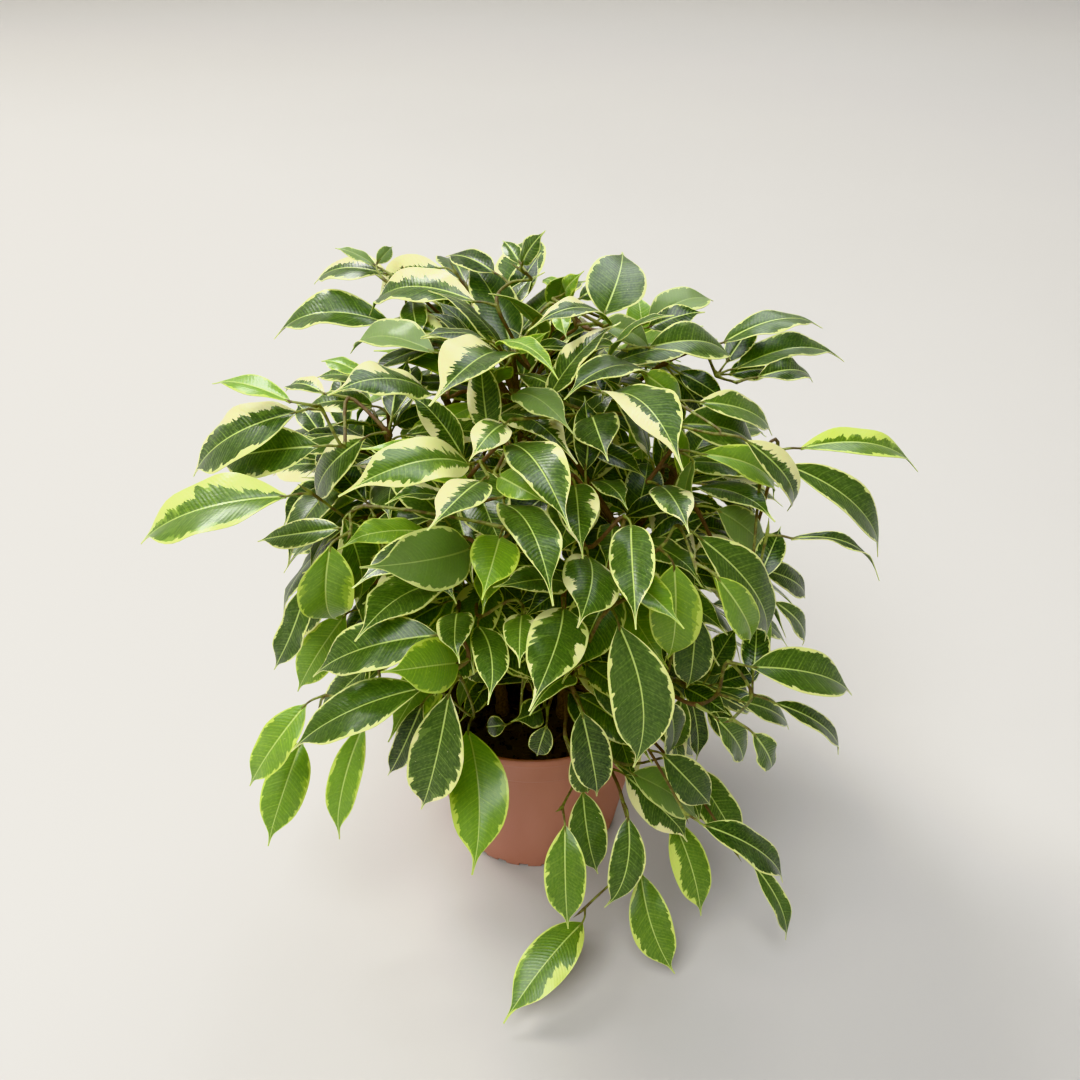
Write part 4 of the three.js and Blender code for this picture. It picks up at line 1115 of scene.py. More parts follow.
def add_leaf(heap, leaf, dice):
    """A closed thin blade: its upper side, its underside with the midrib, and a rim."""
    draw = {name: dice.draw() for name in LEAF_DRAWS}
    if leaf.by_rule:
        rows, columns = PLAIN_ROWS, PLAIN_COLUMNS
    else:
        rows, columns = FINE_ROWS, FINE_COLUMNS
    upper, u, v, across = blade_grid(leaf, draw, rows, columns)
    normal = np.cross(np.gradient(upper, axis=1), np.gradient(upper, axis=0))
    normal /= np.maximum(np.linalg.norm(normal, axis=2, keepdims=True), SMALLEST)
    rib = RIB_DEPTH * rib_shape(across) * (1 - u) ** RIB_FADE
    lower = upper - normal * (BLADE_THICKNESS + rib)[..., None]
    count = len(columns)
    total = rows * count
    loop = np.concatenate([
        np.arange(count),
        np.arange(1, rows) * count + count - 1,
        (rows - 1) * count + np.arange(count - 2, -1, -1),
        np.arange(rows - 2, 0, -1) * count,
    ])
    ahead = np.roll(loop, -1)
    rim = np.stack([loop + total, ahead + total, ahead, loop], axis=1)
    bottom = grid_faces(rows, count, first=total, flipped=True)
    u, v, across = (np.tile(values.reshape(-1), 2) for values in (u, v, across))
    cream, young, dull, tone = finish_of(leaf, dice)
    heap.add(
        np.concatenate([upper.reshape(-1, 3), lower.reshape(-1, 3)]),
        [grid_faces(rows, count), bottom, rim],
        leaf_place=(u, v, across * CENTIMETRES),
        leaf_pattern=(*cream, draw["seed"]),
        leaf_tone=(young, dull, tone),
        leaf_side=(np.repeat([0, 1], total), leaf.length * DECIMETRES, 0),
    )


def finish_of(leaf, dice):
    """How much cream a leaf has on each side, how young and how dull it is, and how light, with
    painted shade deep in the crown.
    """
    if leaf.by_rule:
        draw = dice.draw()
        finish = next(name for name, upto in FINISH_SHARES if draw <= upto)
        swapped = dice.draw() < 0.5
    else:
        finish, swapped = leaf.finish, leaf.side[2] > 0
    left, right, young, dull, tone = FINISHES[finish]
    if swapped:
        left, right = right, left
    spread = between(CREAM_SPREADS, dice.draw())
    tone += TONE_SPREAD * dice.spread()
    young = min(1, young * between(YOUTH_SPREADS, dice.draw()))
    if leaf.by_rule:
        # Painted shade: the leaves inside the crown are darkened by how deep in it they lie.
        reach = (leaf.tip - CROWN_CENTRE) / CROWN_RADII
        tone -= INNER_PAINTED_SHADE * max(0, 1 - math.sqrt(reach.dot(reach)))
    return (min(1, left * spread), min(1, right * spread)), young, dull, tone


# Wood.
STEM_SEED, STEM_SEED_STEP = 5, 31
STEM_RINGS = 60
STEM_SIDES = 16
STEM_PHASE = 6
STEM_KNOBS = 0.16
KNOB_PACE = 0.36
KNOB_SHARPNESS = 8
STEM_FLARE = 0.22
FLARE_FADE = 4
STEM_BEND = 0.8
BEND_PACES = (0.07, 0.06)
BEND_FADE = 30
STEM_GREEN = 0.25
STEM_GREEN_FROM = 0.6
TWIG_STEPS = 5
TWIG_SIDES = 8
TWIG_RADIUS = 1.05
TWIG_TIP_RADIUS = 0.5
NODE_SWELL = 0.34
NODE_REACH = 0.16
TWIG_GREENS = (0.3, 1.1)
LONG_TWIG = 8
BUD_LENGTH = 8
BUD_START = 1
BUD_BOW = 1.6
BUD_RADII = (0.9, 1.15, 1.1, 0.85, 0.55, 0.3, 0.08)
BUD_GREENS = (0.8, 1.0)
# A bud beside an end leaf is smaller, and sunk by a share of the twig's last stretch.
SMALL_BUD = 0.9
BUD_SINK = 0.2
PETIOLE_STEPS = 4
PETIOLE_PLACES = (0, 0.12, 0.5, 0.8, 1)
PETIOLE_RADII = (0.8, 0.55, 0.42, 0.46, 0.2)
PETIOLE_BEND = 0.4
# The petiole runs on into the midrib, so far in, so deep at the base and at its end.
PETIOLE_INSIDE = 2.5
PETIOLE_DEPTHS = (0.15, 0.35)
MIDRIB_LEFT = 0.94


def add_wood(heap, line, radii, sides, green):
    """A closed rod of bark, with how green it is, how far along it and how far round a point is."""
    points, faces = sweep(line, radii, sides)
    reach = np.cumsum([0, *np.linalg.norm(np.diff(line, axis=0), axis=1)])
    ringed = np.stack([green, reach * DECIMETRES])
    greens, lengths = np.hstack([np.repeat(ringed, sides, axis=1), ringed[:, [0, -1]]])
    turns = np.append(np.tile(np.arange(sides) / sides, len(line)), [0, 0])
    heap.add(points, faces, wood_place=(greens, lengths, turns))


def add_stem(heap, stem, owner):
    dice = Dice(owner * STEM_SEED_STEP + STEM_SEED)
    top = stem[2][2]
    heights = np.linspace(STEM_FOOT, top, STEM_RINGS)
    above = np.maximum(heights - SOIL_TOP, 0)
    line = np.array([stem_point(stem, z) for z in heights])
    share = np.interp(heights, (STEM_FOOT, SOIL_TOP, top), (0, 1 / (STEM_STEPS + 1), 1))
    radii = between((STEM_RADIUS, STEM_TOP_RADIUS), share)
    knobs = np.sin(heights * KNOB_PACE + STEM_PHASE * dice.draw()) ** KNOB_SHARPNESS
    radii *= (1 + STEM_KNOBS * knobs) * (1 + STEM_FLARE * np.exp(-above / FLARE_FADE))
    bend = np.minimum(1, above / BEND_FADE) * np.minimum(1, (top - heights) / BEND_FADE)
    phase = STEM_PHASE * dice.draw()
    for axis, wave in enumerate((np.sin, np.cos)):
        line[:, axis] += STEM_BEND * bend * wave(heights * BEND_PACES[axis] + phase)
    green = STEM_GREEN * smooth(heights, STEM_GREEN_FROM * top, top)
    add_wood(heap, line, radii, STEM_SIDES, green)
    add_bud(heap, line, radii[-1])


def add_bud(heap, twig, radius, sink=0):
    """The pointed sheath at a shoot's end."""
    stretch = twig[-1] - twig[-3]
    along = unit(stretch)
    t = np.linspace(0, 1, len(BUD_RADII))
    bow = np.cross(along, ASKEW) * BUD_BOW * t[:, None] ** 2
    line = twig[-1] - stretch * sink + along * (BUD_LENGTH * t[:, None] - BUD_START) + bow
    add_wood(heap, line, radius * np.array(BUD_RADII), TWIG_SIDES, between(BUD_GREENS, t))


def add_shoot(heap, shoot):
    line = smooth_way(shoot.way, TWIG_STEPS)
    t = np.linspace(0, 1, len(line))
    radii = between((TWIG_RADIUS, TWIG_TIP_RADIUS), t)
    at = np.arange(len(line)) / TWIG_STEPS
    for leaf in shoot.leaves:
        radii *= 1 + NODE_SWELL * np.exp(-(((at - leaf.place) / NODE_REACH) ** 2))
    green = smooth(t * min(1, len(shoot.way) / LONG_TWIG), *TWIG_GREENS)
    add_wood(heap, line, radii, TWIG_SIDES, green)
    if shoot.leaves[0].place == len(shoot.way) - 1:
        add_bud(heap, line, radii[-1] * SMALL_BUD, BUD_SINK)
    else:
        add_bud(heap, line, radii[-1])


def add_petiole(heap, leaf):
    """The stalk from the twig to the blade, running on into the midrib."""
    before = leaf.base - leaf.along * PETIOLE_LENGTH * PETIOLE_BEND
    middle = (leaf.node + leaf.base) * ((1 - PETIOLE_BEND) / 2) + before * PETIOLE_BEND
    outer, inner = PETIOLE_DEPTHS
    rise = 4 * leaf.arch * PETIOLE_INSIDE * MIDRIB_LEFT - inner
    inside = leaf.base + leaf.along * PETIOLE_INSIDE + leaf.normal * rise
    way = [leaf.node, middle, leaf.base - leaf.normal * outer, inside]
    line = smooth_way(way, PETIOLE_STEPS)
    radii = np.interp(np.linspace(0, 1, len(line)), PETIOLE_PLACES, PETIOLE_RADII)
    add_wood(heap, line, radii, TWIG_SIDES, np.ones(len(line)))


# Soil: how far out, how far the surface has sunk there, and how it crumbles.
SOIL_SHARES = (0.4, 0.72, 1)
SOIL_DROPS = (0, 0.4, 1)
SOIL_ROUGHNESS = 1.6
SOIL_SUNK = 0.7
SOIL_GRAIN = 0.11
SOIL_SLICE = 3.0
SOIL_FRACTAL = (0.6, 2.1, 4)
SOIL_EDGE_SHARPNESS = 8
SOIL_RINGS = 34
SOIL_SIDES = 120
SOIL_RING_CROWDING = 0.85
SOIL_TONE = 0.5

# Crumbs and fibres: sizes as shares of the largest, shapes as shares of the size.
CRUMB_SEED = 90217
CRUMB_SIZES = (0.25, 1)
CRUMB_RARITY = 3
CRUMB_MARGIN = 0.3
LARGE_CRUMB = 0.6
CRUMB_WIDTHS = (0.6, 1)
CRUMB_HEIGHT = 0.7
FIBRE_SHARE = 0.16
FIBRE_SHAPE = (2.6, 0.35, 0.35)
CRUMB_SLICES = 50
CRUMB_GRAIN = 1.7
CRUMB_ROUGHNESS = 0.55
CRUMB_TILT = 0.7
CRUMB_LIFT = 0.15


def soil_edge(z):
    return pot_inside(z) - POT_WALL - GAP


def soil_level(x, y):
    """The height of the soil's surface, uneven in the small."""
    share = min(1, math.hypot(x, y) / soil_edge(SOIL_TOP))
    base = SOIL_TOP - SOIL_RISE * float(np.interp(share, SOIL_SHARES, SOIL_DROPS))
    rough = noise.fractal(Vector((x * SOIL_GRAIN, y * SOIL_GRAIN, SOIL_SLICE)), *SOIL_FRACTAL)
    rough *= 1 - share**SOIL_EDGE_SHARPNESS
    return base + SOIL_ROUGHNESS * (rough - SOIL_SUNK)


def add_soil_body(heap):
    foot = FLOOR_TOP + GAP
    shares = np.linspace(1, 0, SOIL_RINGS + 1)[:-1] ** SOIL_RING_CROWDING
    turns = full_turn(SOIL_SIDES)
    surface = np.concatenate([ring(soil_edge(SOIL_TOP) * share, turns, 0) for share in shares])
    surface[:, 2] = [soil_level(x, y) for x, y, _ in surface]
    ends = [(0, 0, foot), (0, 0, soil_level(0, 0))]
    points = np.concatenate([ring(soil_edge(FLOOR_TOP), turns, foot), surface, ends])
    heap.add(points, closed_faces(SOIL_RINGS + 1, SOIL_SIDES), soil_tone=[SOIL_TONE] * 3)


def lump(detail):
    """A small ball of triangles, as points on it and faces."""
    mesh = bmesh.new()
    bmesh.ops.create_icosphere(mesh, subdivisions=detail, radius=1)
    mesh.verts.index_update()
    points = np.array([v.co[:] for v in mesh.verts])
    faces = np.array([[v.index for v in face.verts] for face in mesh.faces])
    mesh.free()
    return points, faces


def turned(points, spin, tilt):
    """Points tilted sideways and then turned about the upright axis."""
    x, y, level, rise = math.cos(spin), math.sin(spin), math.cos(tilt), math.sin(tilt)
    return points @ np.array([
        [x * level, -y, x * rise],
        [y * level, x, y * rise],
        [-rise, 0, level],
    ]).T


def add_crumbs(heap, count, largest):
    """Crumbs and fibres of peat, half sunk in the surface."""
    small, large = lump(1), lump(2)
    dice = Dice(CRUMB_SEED)
    edge = soil_edge(SOIL_TOP)
    for _ in range(count):
        size = largest * between(CRUMB_SIZES, dice.draw() ** CRUMB_RARITY)
        radius = (edge - size - CRUMB_MARGIN) * math.sqrt(dice.draw())
        middle = aside(2 * math.pi * dice.draw()) * radius
        points, faces = large if size > largest * LARGE_CRUMB else small
        fibre = dice.draw() < FIBRE_SHARE
        shape = FIBRE_SHAPE if fibre else (1, between(CRUMB_WIDTHS, dice.draw()), CRUMB_HEIGHT)
        slice_at = Vector((CRUMB_SLICES * dice.draw(), 0, 0))
        rough = np.array([noise.noise(Vector(p * CRUMB_GRAIN) + slice_at) for p in points])
        body = points * (1 + CRUMB_ROUGHNESS * rough)[:, None] * np.array(shape) * size
        middle[2] = soil_level(*middle[:2]) + size * CRUMB_LIFT
        body = turned(body, 2 * math.pi * dice.draw(), CRUMB_TILT * dice.spread()) + middle
        reach = np.hypot(body[:, 0], body[:, 1])
        body[:, :2] *= np.minimum(1, edge / np.maximum(reach, SMALLEST))[:, None]
        tone = dice.draw()
        heap.add(body, [faces], soil_tone=(tone, float(fibre), tone))


# Pot.
CORNER_STEPS = 4
CORNER_REACH = 0.45
LIP_STEP = 0.45
LIP_STEP_TOP = 3.2
LIP_STEP_FOOT = 4.2
LIP_INSIDE = 2.5
FOOT_PLAY = 0.6
# Points beside a notch's middle: shares of its half width, and of the turn to the next notch.
NOTCH_PLACES = ((0.5, 0), (1, 0), (1.04, 0), (0.72, 0.14))
NOTCH_PLAY = 1.01
CUTTER_SIDES = 28
POT_SHARP_ANGLE = math.radians(40)


def rounded(profile):
    """A profile with its inner corners rounded, each by its own radius."""
    found = [profile[0]]
    for before, (*corner, size), after in zip(profile, profile[1:], profile[2:]):
        c = np.array(corner, float)
        a, b = (np.array(other[:2], float) - c for other in (before, after))
        cut = min(size, CORNER_REACH * math.hypot(*a), CORNER_REACH * math.hypot(*b))
        a, b = (c + side / math.hypot(*side) * cut for side in (a, b))
        for t in np.linspace(0, 1, CORNER_STEPS):
            near, far = a + (c - a) * t, c + (b - c) * t
            found.append(near + (far - near) * t)
    return np.array([*found, profile[-1]])


def pot_profile():
    """The pot's section as radius and height, and between its ends the radius of each corner."""
    band = POT_HEIGHT - BAND_HEIGHT
    foot_inside = POT_FOOT_RADIUS - FOOT_WIDTH
    return rounded([
        (0, 0),
        (BOSS_RADIUS, 0, 0.3),
        (BOSS_RADIUS, FLOOR_LIFT, 0.5),
        (foot_inside, FLOOR_LIFT, 0.5),
        (foot_inside, NOTCH_HEIGHT, 0.05),
        (foot_inside, 0, 0.4),
        (POT_FOOT_RADIUS, 0, 0.7),
        (pot_radius(NOTCH_HEIGHT), NOTCH_HEIGHT, 0.05),
        (pot_radius(band) - BAND_STEP, band, 0.8),
        (pot_radius(band), band + BAND_STEP, 0.5),
        (POT_LIP_RADIUS - LIP_STEP, POT_HEIGHT - LIP_STEP_FOOT, 0.5),
        (POT_LIP_RADIUS, POT_HEIGHT - LIP_STEP_TOP, 0.5),
        (POT_LIP_RADIUS, POT_HEIGHT, 0.85),
        (pot_inside(POT_HEIGHT), POT_HEIGHT, 0.75),
        (pot_inside(POT_HEIGHT), POT_HEIGHT - LIP_INSIDE, 0.6),
        (pot_inside(FLOOR_TOP) - POT_WALL, FLOOR_TOP, 2.2),
        (0, FLOOR_TOP),
    ])


def pot_shell():
    """The pot turned from its profile, its foot lifted over each notch."""
    profile = pot_profile()
    period = 2 * math.pi / NOTCHES
    half = math.asin(NOTCH_WIDTH / 2 / POT_FOOT_RADIUS)
    right = np.array([half * notch + period * rest for notch, rest in NOTCH_PLACES])
    offsets = np.concatenate([[-0.5 * period], -right[::-1], [0], right])
    turns = np.concatenate([period * (i + 0.5) + offsets for i in range(NOTCHES)])
    in_notch = np.tile(np.abs(offsets) < half * NOTCH_PLAY, NOTCHES)
    rings = []
    for radius, z in profile[1:-1]:
        on_foot = radius > POT_FOOT_RADIUS - FOOT_WIDTH - FOOT_PLAY and z < NOTCH_HEIGHT
        rings.append(ring(radius, turns, np.where(in_notch & on_foot, NOTCH_HEIGHT, z)))
    points = np.concatenate([*rings, [[0, 0, z] for _, z in profile[[0, -1]]]])
    faces = [face for block in closed_faces(len(rings), len(turns)) for face in block.tolist()]
    return mesh_of("pot", points * MM, faces)


def drilled(mesh):
    """The pot's shell with its drain holes cut through the floor."""
    cutters = bmesh.new()
    for turn in full_turn(DRAINS):
        place = Vector(aside(turn) * DRAIN_RING + UP * FLOOR_TOP / 2) * MM
        bmesh.ops.create_cone(
            cutters, cap_ends=True, segments=CUTTER_SIDES, radius1=DRAIN_RADIUS * MM,
            radius2=DRAIN_RADIUS * MM, depth=2 * FLOOR_TOP * MM, matrix=Matrix.Translation(place),
        )
    cutter_mesh = bpy.data.meshes.new("drain_cutter")
    cutters.to_mesh(cutter_mesh)
    cutters.free()
    shell, cutter = linked("pot_shell", mesh), linked("drain_cutter", cutter_mesh)
    cut = shell.modifiers.new("drains", "BOOLEAN")
    cut.operation, cut.solver, cut.object = "DIFFERENCE", "EXACT", cutter
    graph = bpy.context.evaluated_depsgraph_get()
    made = bpy.data.meshes.new_from_object(shell.evaluated_get(graph))
    for thing in (shell, cutter):
        bpy.data.objects.remove(thing)
    return made


# Materials.


def reckoned(operation, swapped=False):
    """A method of Wire that adds the node for one kind of reckoning."""

    def method(self, *others):
        values = (*others, self) if swapped else (self, *others)
        return self.nodes.add("ShaderNodeMath", enumerate(values), operation=operation)

    return method


class Wire:
    """A value between two nodes, which can be reckoned with like a number."""

    def __init__(self, nodes, socket):
        self.nodes, self.socket = nodes, socket

    __add__ = __radd__ = reckoned("ADD")
    __mul__ = __rmul__ = reckoned("MULTIPLY")
    __sub__ = reckoned("SUBTRACT")
    __rsub__ = reckoned("SUBTRACT", swapped=True)
    __truediv__ = reckoned("DIVIDE")
    __pow__ = reckoned("POWER")
    __gt__ = reckoned("GREATER_THAN")
    __abs__ = reckoned("ABSOLUTE")
    cosine = reckoned("COSINE")
    or_less = reckoned("MINIMUM")
    or_more = reckoned("MAXIMUM")


class Nodes:
    """Short words for the nodes of one material."""

    def __init__(self, name, **sockets):
        self.material = bpy.data.materials.new(name)
        self.material.use_nodes = True
        self.tree = self.material.node_tree
        self.shader = self.tree.nodes["Principled BSDF"]
        self.shade(**sockets)

    def shade(self, **sockets):
        """Gives values to the shader's inputs, with _ for each space in their names."""
        for name, value in sockets.items():
            self.plug(self.shader.inputs[name.replace("_", " ")], value)

    def plug(self, socket, value):
        if isinstance(value, Wire):
            self.tree.links.new(value.socket, socket)
        else:
            socket.default_value = value

    def add(self, kind, inputs=(), output=0, **settings):
        """A new node's output. Its inputs are pairs of a number or name and a value."""
        node = self.tree.nodes.new(kind)
        for name, value in settings.items():
            setattr(node, name, value)
        for key, value in inputs:
            self.plug(node.inputs[key], value)
        return Wire(self, node.outputs[output])

    def mix(self, share, a, b):
        """A colour that lies by a share between two."""
        a, b = (value if isinstance(value, Wire) else (*value, 1) for value in (a, b))
        return self.add("ShaderNodeMix", ((0, share), (6, a), (7, b)), 2, data_type="RGBA")

    def step(self, value, low, high, start=0.0, end=1.0):
        """Goes smoothly from start to end while a value goes from low to high."""
        inputs = enumerate((value, low, high, start, end))
        return self.add("ShaderNodeMapRange", inputs, interpolation_type="SMOOTHSTEP")

    def split(self, vector):
        first = self.add("ShaderNodeSeparateXYZ", [(0, vector)])
        return [Wire(self, socket) for socket in first.socket.node.outputs]

    def mark(self, name):
        """The three values that a mesh holds for each point under a name."""
        return self.split(self.add("ShaderNodeAttribute", output="Vector", attribute_name=name))

    def point(self, *values):
        return self.add("ShaderNodeCombineXYZ", enumerate(values))

    def place(self):
        return self.add("ShaderNodeTexCoord", output="Object")

    def noise(self, place, scale=1.0, detail=1.0, roughness=0.5):
        inputs = {"Vector": place, "Scale": scale, "Detail": detail, "Roughness": roughness}
        return self.add("ShaderNodeTexNoise", inputs.items())

    def bump(self, height, depth, strength):
        inputs = {"Strength": strength, "Distance": depth, "Height": height}
        self.shade(Normal=self.add("ShaderNodeBump", inputs.items()))


# Leaf finish: how often each pattern comes along the side veins, and how far it reaches.
VEIN_LEAN = 0.045
VEIN_LEAN_GROWTH = 0.03
VEIN_CURL = 0.03
VEIN_DRIFT = 0.016
BROAD_PACE = 3.6
TOOTH_PACE = 30
NICK_PACE = 95
LUMP_PACE = 15
PATCH_PACE = 6
VEINS = 62
VEINS_TO_A_STRONG_ONE = 3.4
WHOLE_WAVE = 6.2832
HALF_APART = 7.3
LEAF_APART = 53
RIM = 0.045
LINE = 0.035
RIB_EDGE = 0.036
RIB_TAPER = 0.022
UNDERSIDE_SHARE = 0.62
DULL_SHARE = 0.7


class LeafNodes(Nodes):
    """Green in a jagged cream margin along the side veins, a pale midrib and a dull underside."""

    def __init__(self, size):
        super().__init__(
            "fig_leaf", IOR=1.46, Coat_Weight=size.wax, Coat_Roughness=0.2, Coat_IOR=1.45,
            Subsurface_Weight=size.glow, Subsurface_Radius=(0.6, 1.0, 0.2), Subsurface_Scale=0.0012,
        )
        self.size = size
        self.u, self.v, self.across = self.mark("leaf_place")
        self.cream_left, self.cream_right, self.seed = self.mark("leaf_pattern")
        self.young, self.dull, self.tone = self.mark("leaf_tone")
        self.under, self.length, _ = self.mark("leaf_side")
        self.edge = abs(self.v)
        self.span = abs(self.across)
        self.vein = self.along_veins()
        right = self.v > 0.0
        self.apart = right * HALF_APART + self.seed * LEAF_APART
        self.cream_share = self.cream_right * right + self.cream_left * (1.0 - right)
        self.teeth = self.along(TOOTH_PACE, self.edge * 1.4, 2.0)
        self.cover = self.creamy_parts()
        self.bound = self.margin()
        self.cream = self.step(self.edge - self.bound, -0.008, 0.012)

    def along_veins(self):
        """How far along the midrib the side vein through a point begins."""
        lean = self.span / self.length * (self.u * VEIN_LEAN_GROWTH + VEIN_LEAN)
        bow = lean + self.edge**3.0 * VEIN_CURL
        drift = self.noise(self.point(self.u * 7.0, self.v * 2.0, self.seed))
        return self.u - bow + (drift - 0.5) * VEIN_DRIFT

    def along(self, pace, depth, detail=1.0):
        """A pattern that comes again along the side veins, other on each half and leaf."""
        return self.noise(self.point(self.vein * pace, self.apart, depth), detail=detail)

    def creamy_parts(self):
        """Where the cream reaches far in, and how far."""
        high = 0.78 - self.cream_share * 0.46
        broad = self.along(BROAD_PACE, self.seed)
        return self.step(broad, high - 0.05, high + 0.12) * (self.cream_share * 0.56 + 0.1)

    def margin(self):
        """How far out the green ends."""
        nicks = self.along(NICK_PACE, self.edge * 2.0, 2.0)
        rim = self.step(self.u, 0.84, 1.0, 0.0, 0.6) + RIM
        rough = (self.teeth - 0.42) * (self.cover * 1.1 + 0.16)
        ragged = (nicks - 0.45) * (self.cover * 0.5 + 0.12)
        bound = 1.0 - rim - (self.cover * 0.8 + (rough + ragged))
        # Even a green leaf has a pale line round it, with lumps.
        lumps = self.step(self.along(LUMP_PACE, 5.0, 2.0), 0.5, 0.66, 0.0, 0.17)
        line = 1.0 - LINE - self.teeth * 0.09 - lumps * (self.cream_share * 1.5 + 0.45)
        return bound.or_less(line)

    def greens(self, cloud):
        """Cloudy green, with a middle green in patches between it and the cream."""
        size = self.size
        deep = self.mix(self.young, self.mix(self.tone, size.deep, size.green), size.young)
        fresh = self.mix(0.5, size.young, size.young_edge)
        middle = self.mix(self.young, self.mix(0.55, deep, size.middle), fresh)
        patch = self.along(PATCH_PACE, self.seed + 9.0)
        reach = self.step(patch, 0.46, 0.7) * (self.cream_share * 0.35 + 0.12)
        inner = self.bound - reach * ((self.teeth - 0.5) * 1.6 + 1.0)
        paler = self.mix(0.3, deep, size.middle)
        colour = self.mix(self.step(cloud, 0.35, 0.7, 0.0, 0.4), deep, paler)
        return self.mix(self.step(self.edge - inner, -0.01, 0.02) * 0.85, colour, middle)

    def waves(self, apart, sharpness):
        """Fine lines on the side veins, so many to a leaf of its length."""
        lines = (self.vein * (self.length * VEINS) * (WHOLE_WAVE / apart)).cosine()
        return lines, (lines * 0.5 + 0.5) ** sharpness

    def finish(self):
        size = self.size
        cloud = self.noise(
            self.point(self.u * 3.0, self.across * 2.2, self.seed * 31.0), detail=3.0
        )
        net = self.noise(
            self.point(self.vein * self.length * 95.0, self.across * 12.0, self.seed), detail=2.0
        )
        specks = self.noise(
            self.point(self.u * self.length * 130.0, self.across * 13.0, self.seed * 17.0)
        )
        fade = (1.0 - self.edge * 0.55) * self.step(self.seed, 0.0, 1.0, 0.6, 1.2)
        lines, veins = self.waves(1, 12.0)
        _, strong = self.waves(VEINS_TO_A_STRONG_ONE, 70.0)
        colour = self.greens(cloud)
        vein_colour = self.mix(self.young * 0.8, size.vein, size.young_edge)
        for share in (
            veins * fade * self.step(net, 0.3, 0.6, 0.1, 0.32),
            strong * fade * self.step(cloud, 0.3, 0.6, 0.14, 0.45),
            self.step(net, 0.3, 0.75, 0.0, 0.16),
        ):
            colour = self.mix(share, colour, vein_colour)
        colour = self.mix(self.step(specks, 0.775, 0.80, 0.0, 0.4), colour, size.cream)
        narrow = self.step(self.cover, 0.0, 0.25, 0.45, 0.0)
        golden = self.step(self.young, 0.3, 0.55, 0.1, 0.85).or_more(narrow)
        pale = self.mix(golden, size.cream, size.young_edge)
        colour = self.mix(self.cream, colour, pale)
        rib_edge = RIB_EDGE - self.u * RIB_TAPER
        rib = self.step(self.span - rib_edge, -0.012, 0.008, 1.0, 0.0)
        colour = self.mix(rib * 0.82, colour, size.rib)
        # The dull underside colour, which on the "sheen" leaf is a painted sheen.
        underside_and_painted_sheen = (self.under * UNDERSIDE_SHARE).or_more(self.dull * DULL_SHARE)
        colour = self.mix(underside_and_painted_sheen, colour, self.mix(self.cream * 0.6, size.underside, pale))
        self.shade(Base_Color=colour, Roughness=underside_and_painted_sheen * 0.3 + size.roughness + (cloud - 0.5) * 0.2)
        self.bump(lines * (fade * -0.35) + (net * 0.9 + cloud * 3.0), size.vein_depth, 0.6)
        return self.material


def wood_finish(size):
    """Brown bark with pores on old wood, and smooth green skin on young twigs and stalks."""
    n = Nodes("fig_bark", IOR=1.45)
    green, reach, turn = n.mark("wood_place")
    grain = n.noise(n.point(reach * 22.0, turn * 5.0, 0.0), 3.0, 4.0, 0.65)
    blotch = n.noise(n.place(), 260.0, 3.0, 0.6)
    pores = n.step(n.noise(n.point(reach * 160.0, turn * 9.0, 4.0)), 0.66, 0.74) * 0.6
    bark = n.mix(n.step(grain, 0.3, 0.72), size.bark, size.pale_bark)
    bark = n.mix(pores, bark, size.pale_bark)
    skin = n.mix(n.step(blotch, 0.35, 0.65), size.twig, size.stalk)
    youth = n.step(green + (blotch - 0.5) * 0.5, 0.25, 0.8)
    n.shade(Base_Color=n.mix(youth, bark, skin), Roughness=n.step(green, 0.0, 1.0, 0.75, 0.45))
    n.bump(grain + pores, 0.0004, 0.6)
    return n.material


def soil_finish(size):
    """Dark damp peat, each crumb of its own brown, the fibres paler."""
    n = Nodes("fig_soil", IOR=1.4)
    tone, fibre, _ = n.mark("soil_tone")
    place = n.place()
    grit = n.noise(place, 900.0, 5.0, 0.7)
    damp = n.noise(place, 60.0, 2.0)
    colour = n.mix(n.step(grit, 0.35, 0.7), size.dark, size.light)
    colour = n.mix(n.step(tone, 0.0, 1.0, 0.0, 0.6), colour, size.dark)
    colour = n.mix(fibre * 0.65, colour, size.fibre)
    n.shade(Base_Color=colour, Roughness=n.step(damp, 0.35, 0.65, 0.62, 0.95))
    n.bump(grit, 0.0006, 0.8)
    return n.material


def pot_finish(size):
    """Terracotta-coloured moulded plastic: fine grain, faint flow marks, scuffs at the foot."""
    n = Nodes("fig_pot_plastic", IOR=1.47)
    place = n.place()
    x, y, z = n.split(place)
    grain = n.noise(place, 2600.0, 2.0)
    flow = n.noise(n.point(x, y, z * 0.25), 34.0, 3.0)
    scuff = n.noise(n.point(x, y, z * 5.0), 160.0, 4.0, 0.7)
    low = n.step(z, 0.0, 0.02, 1.0, 0.25)
    colour = n.mix(n.step(flow, 0.3, 0.7), size.plastic, size.plastic_light)
    colour = n.mix(n.step(scuff, 0.6, 0.74) * (low * 0.45), colour, size.scuff)
    roughness = n.step(flow, 0.3, 0.7, size.roughness - 0.06, size.roughness + 0.08)
    n.shade(Base_Color=colour, Roughness=roughness)
    n.bump(grain, 0.00012, 0.35)
    return n.material


def floor_finish(colour):
    """A pale, slightly cloudy floor, painted paler far out and up the wall where the lamps light it
    less.
    """
    n = Nodes("pale_floor")
    place = n.place()
    cloudy = n.step(n.noise(place, 1.3, 3.0), 0.3, 0.7, 0.0, 0.35)
    near = n.mix(cloudy, colour, [c * 0.93 for c in colour])
    # Painted light: the colour grows paler with distance from the plant, against the lamps'
    # falloff.
    away = n.add("ShaderNodeVectorMath", [(0, place)], "Value", operation="LENGTH")
    paler = [min(1, c * 1.3) for c in colour]
    roughness = n.step(n.noise(place, 900.0, 2.0), 0.3, 0.7, 0.55, 0.65)
    n.shade(Base_Color=n.mix(n.step(away, 1.2, 4.0), near, paler), Roughness=roughness)
    return n.material


# What a user may change.


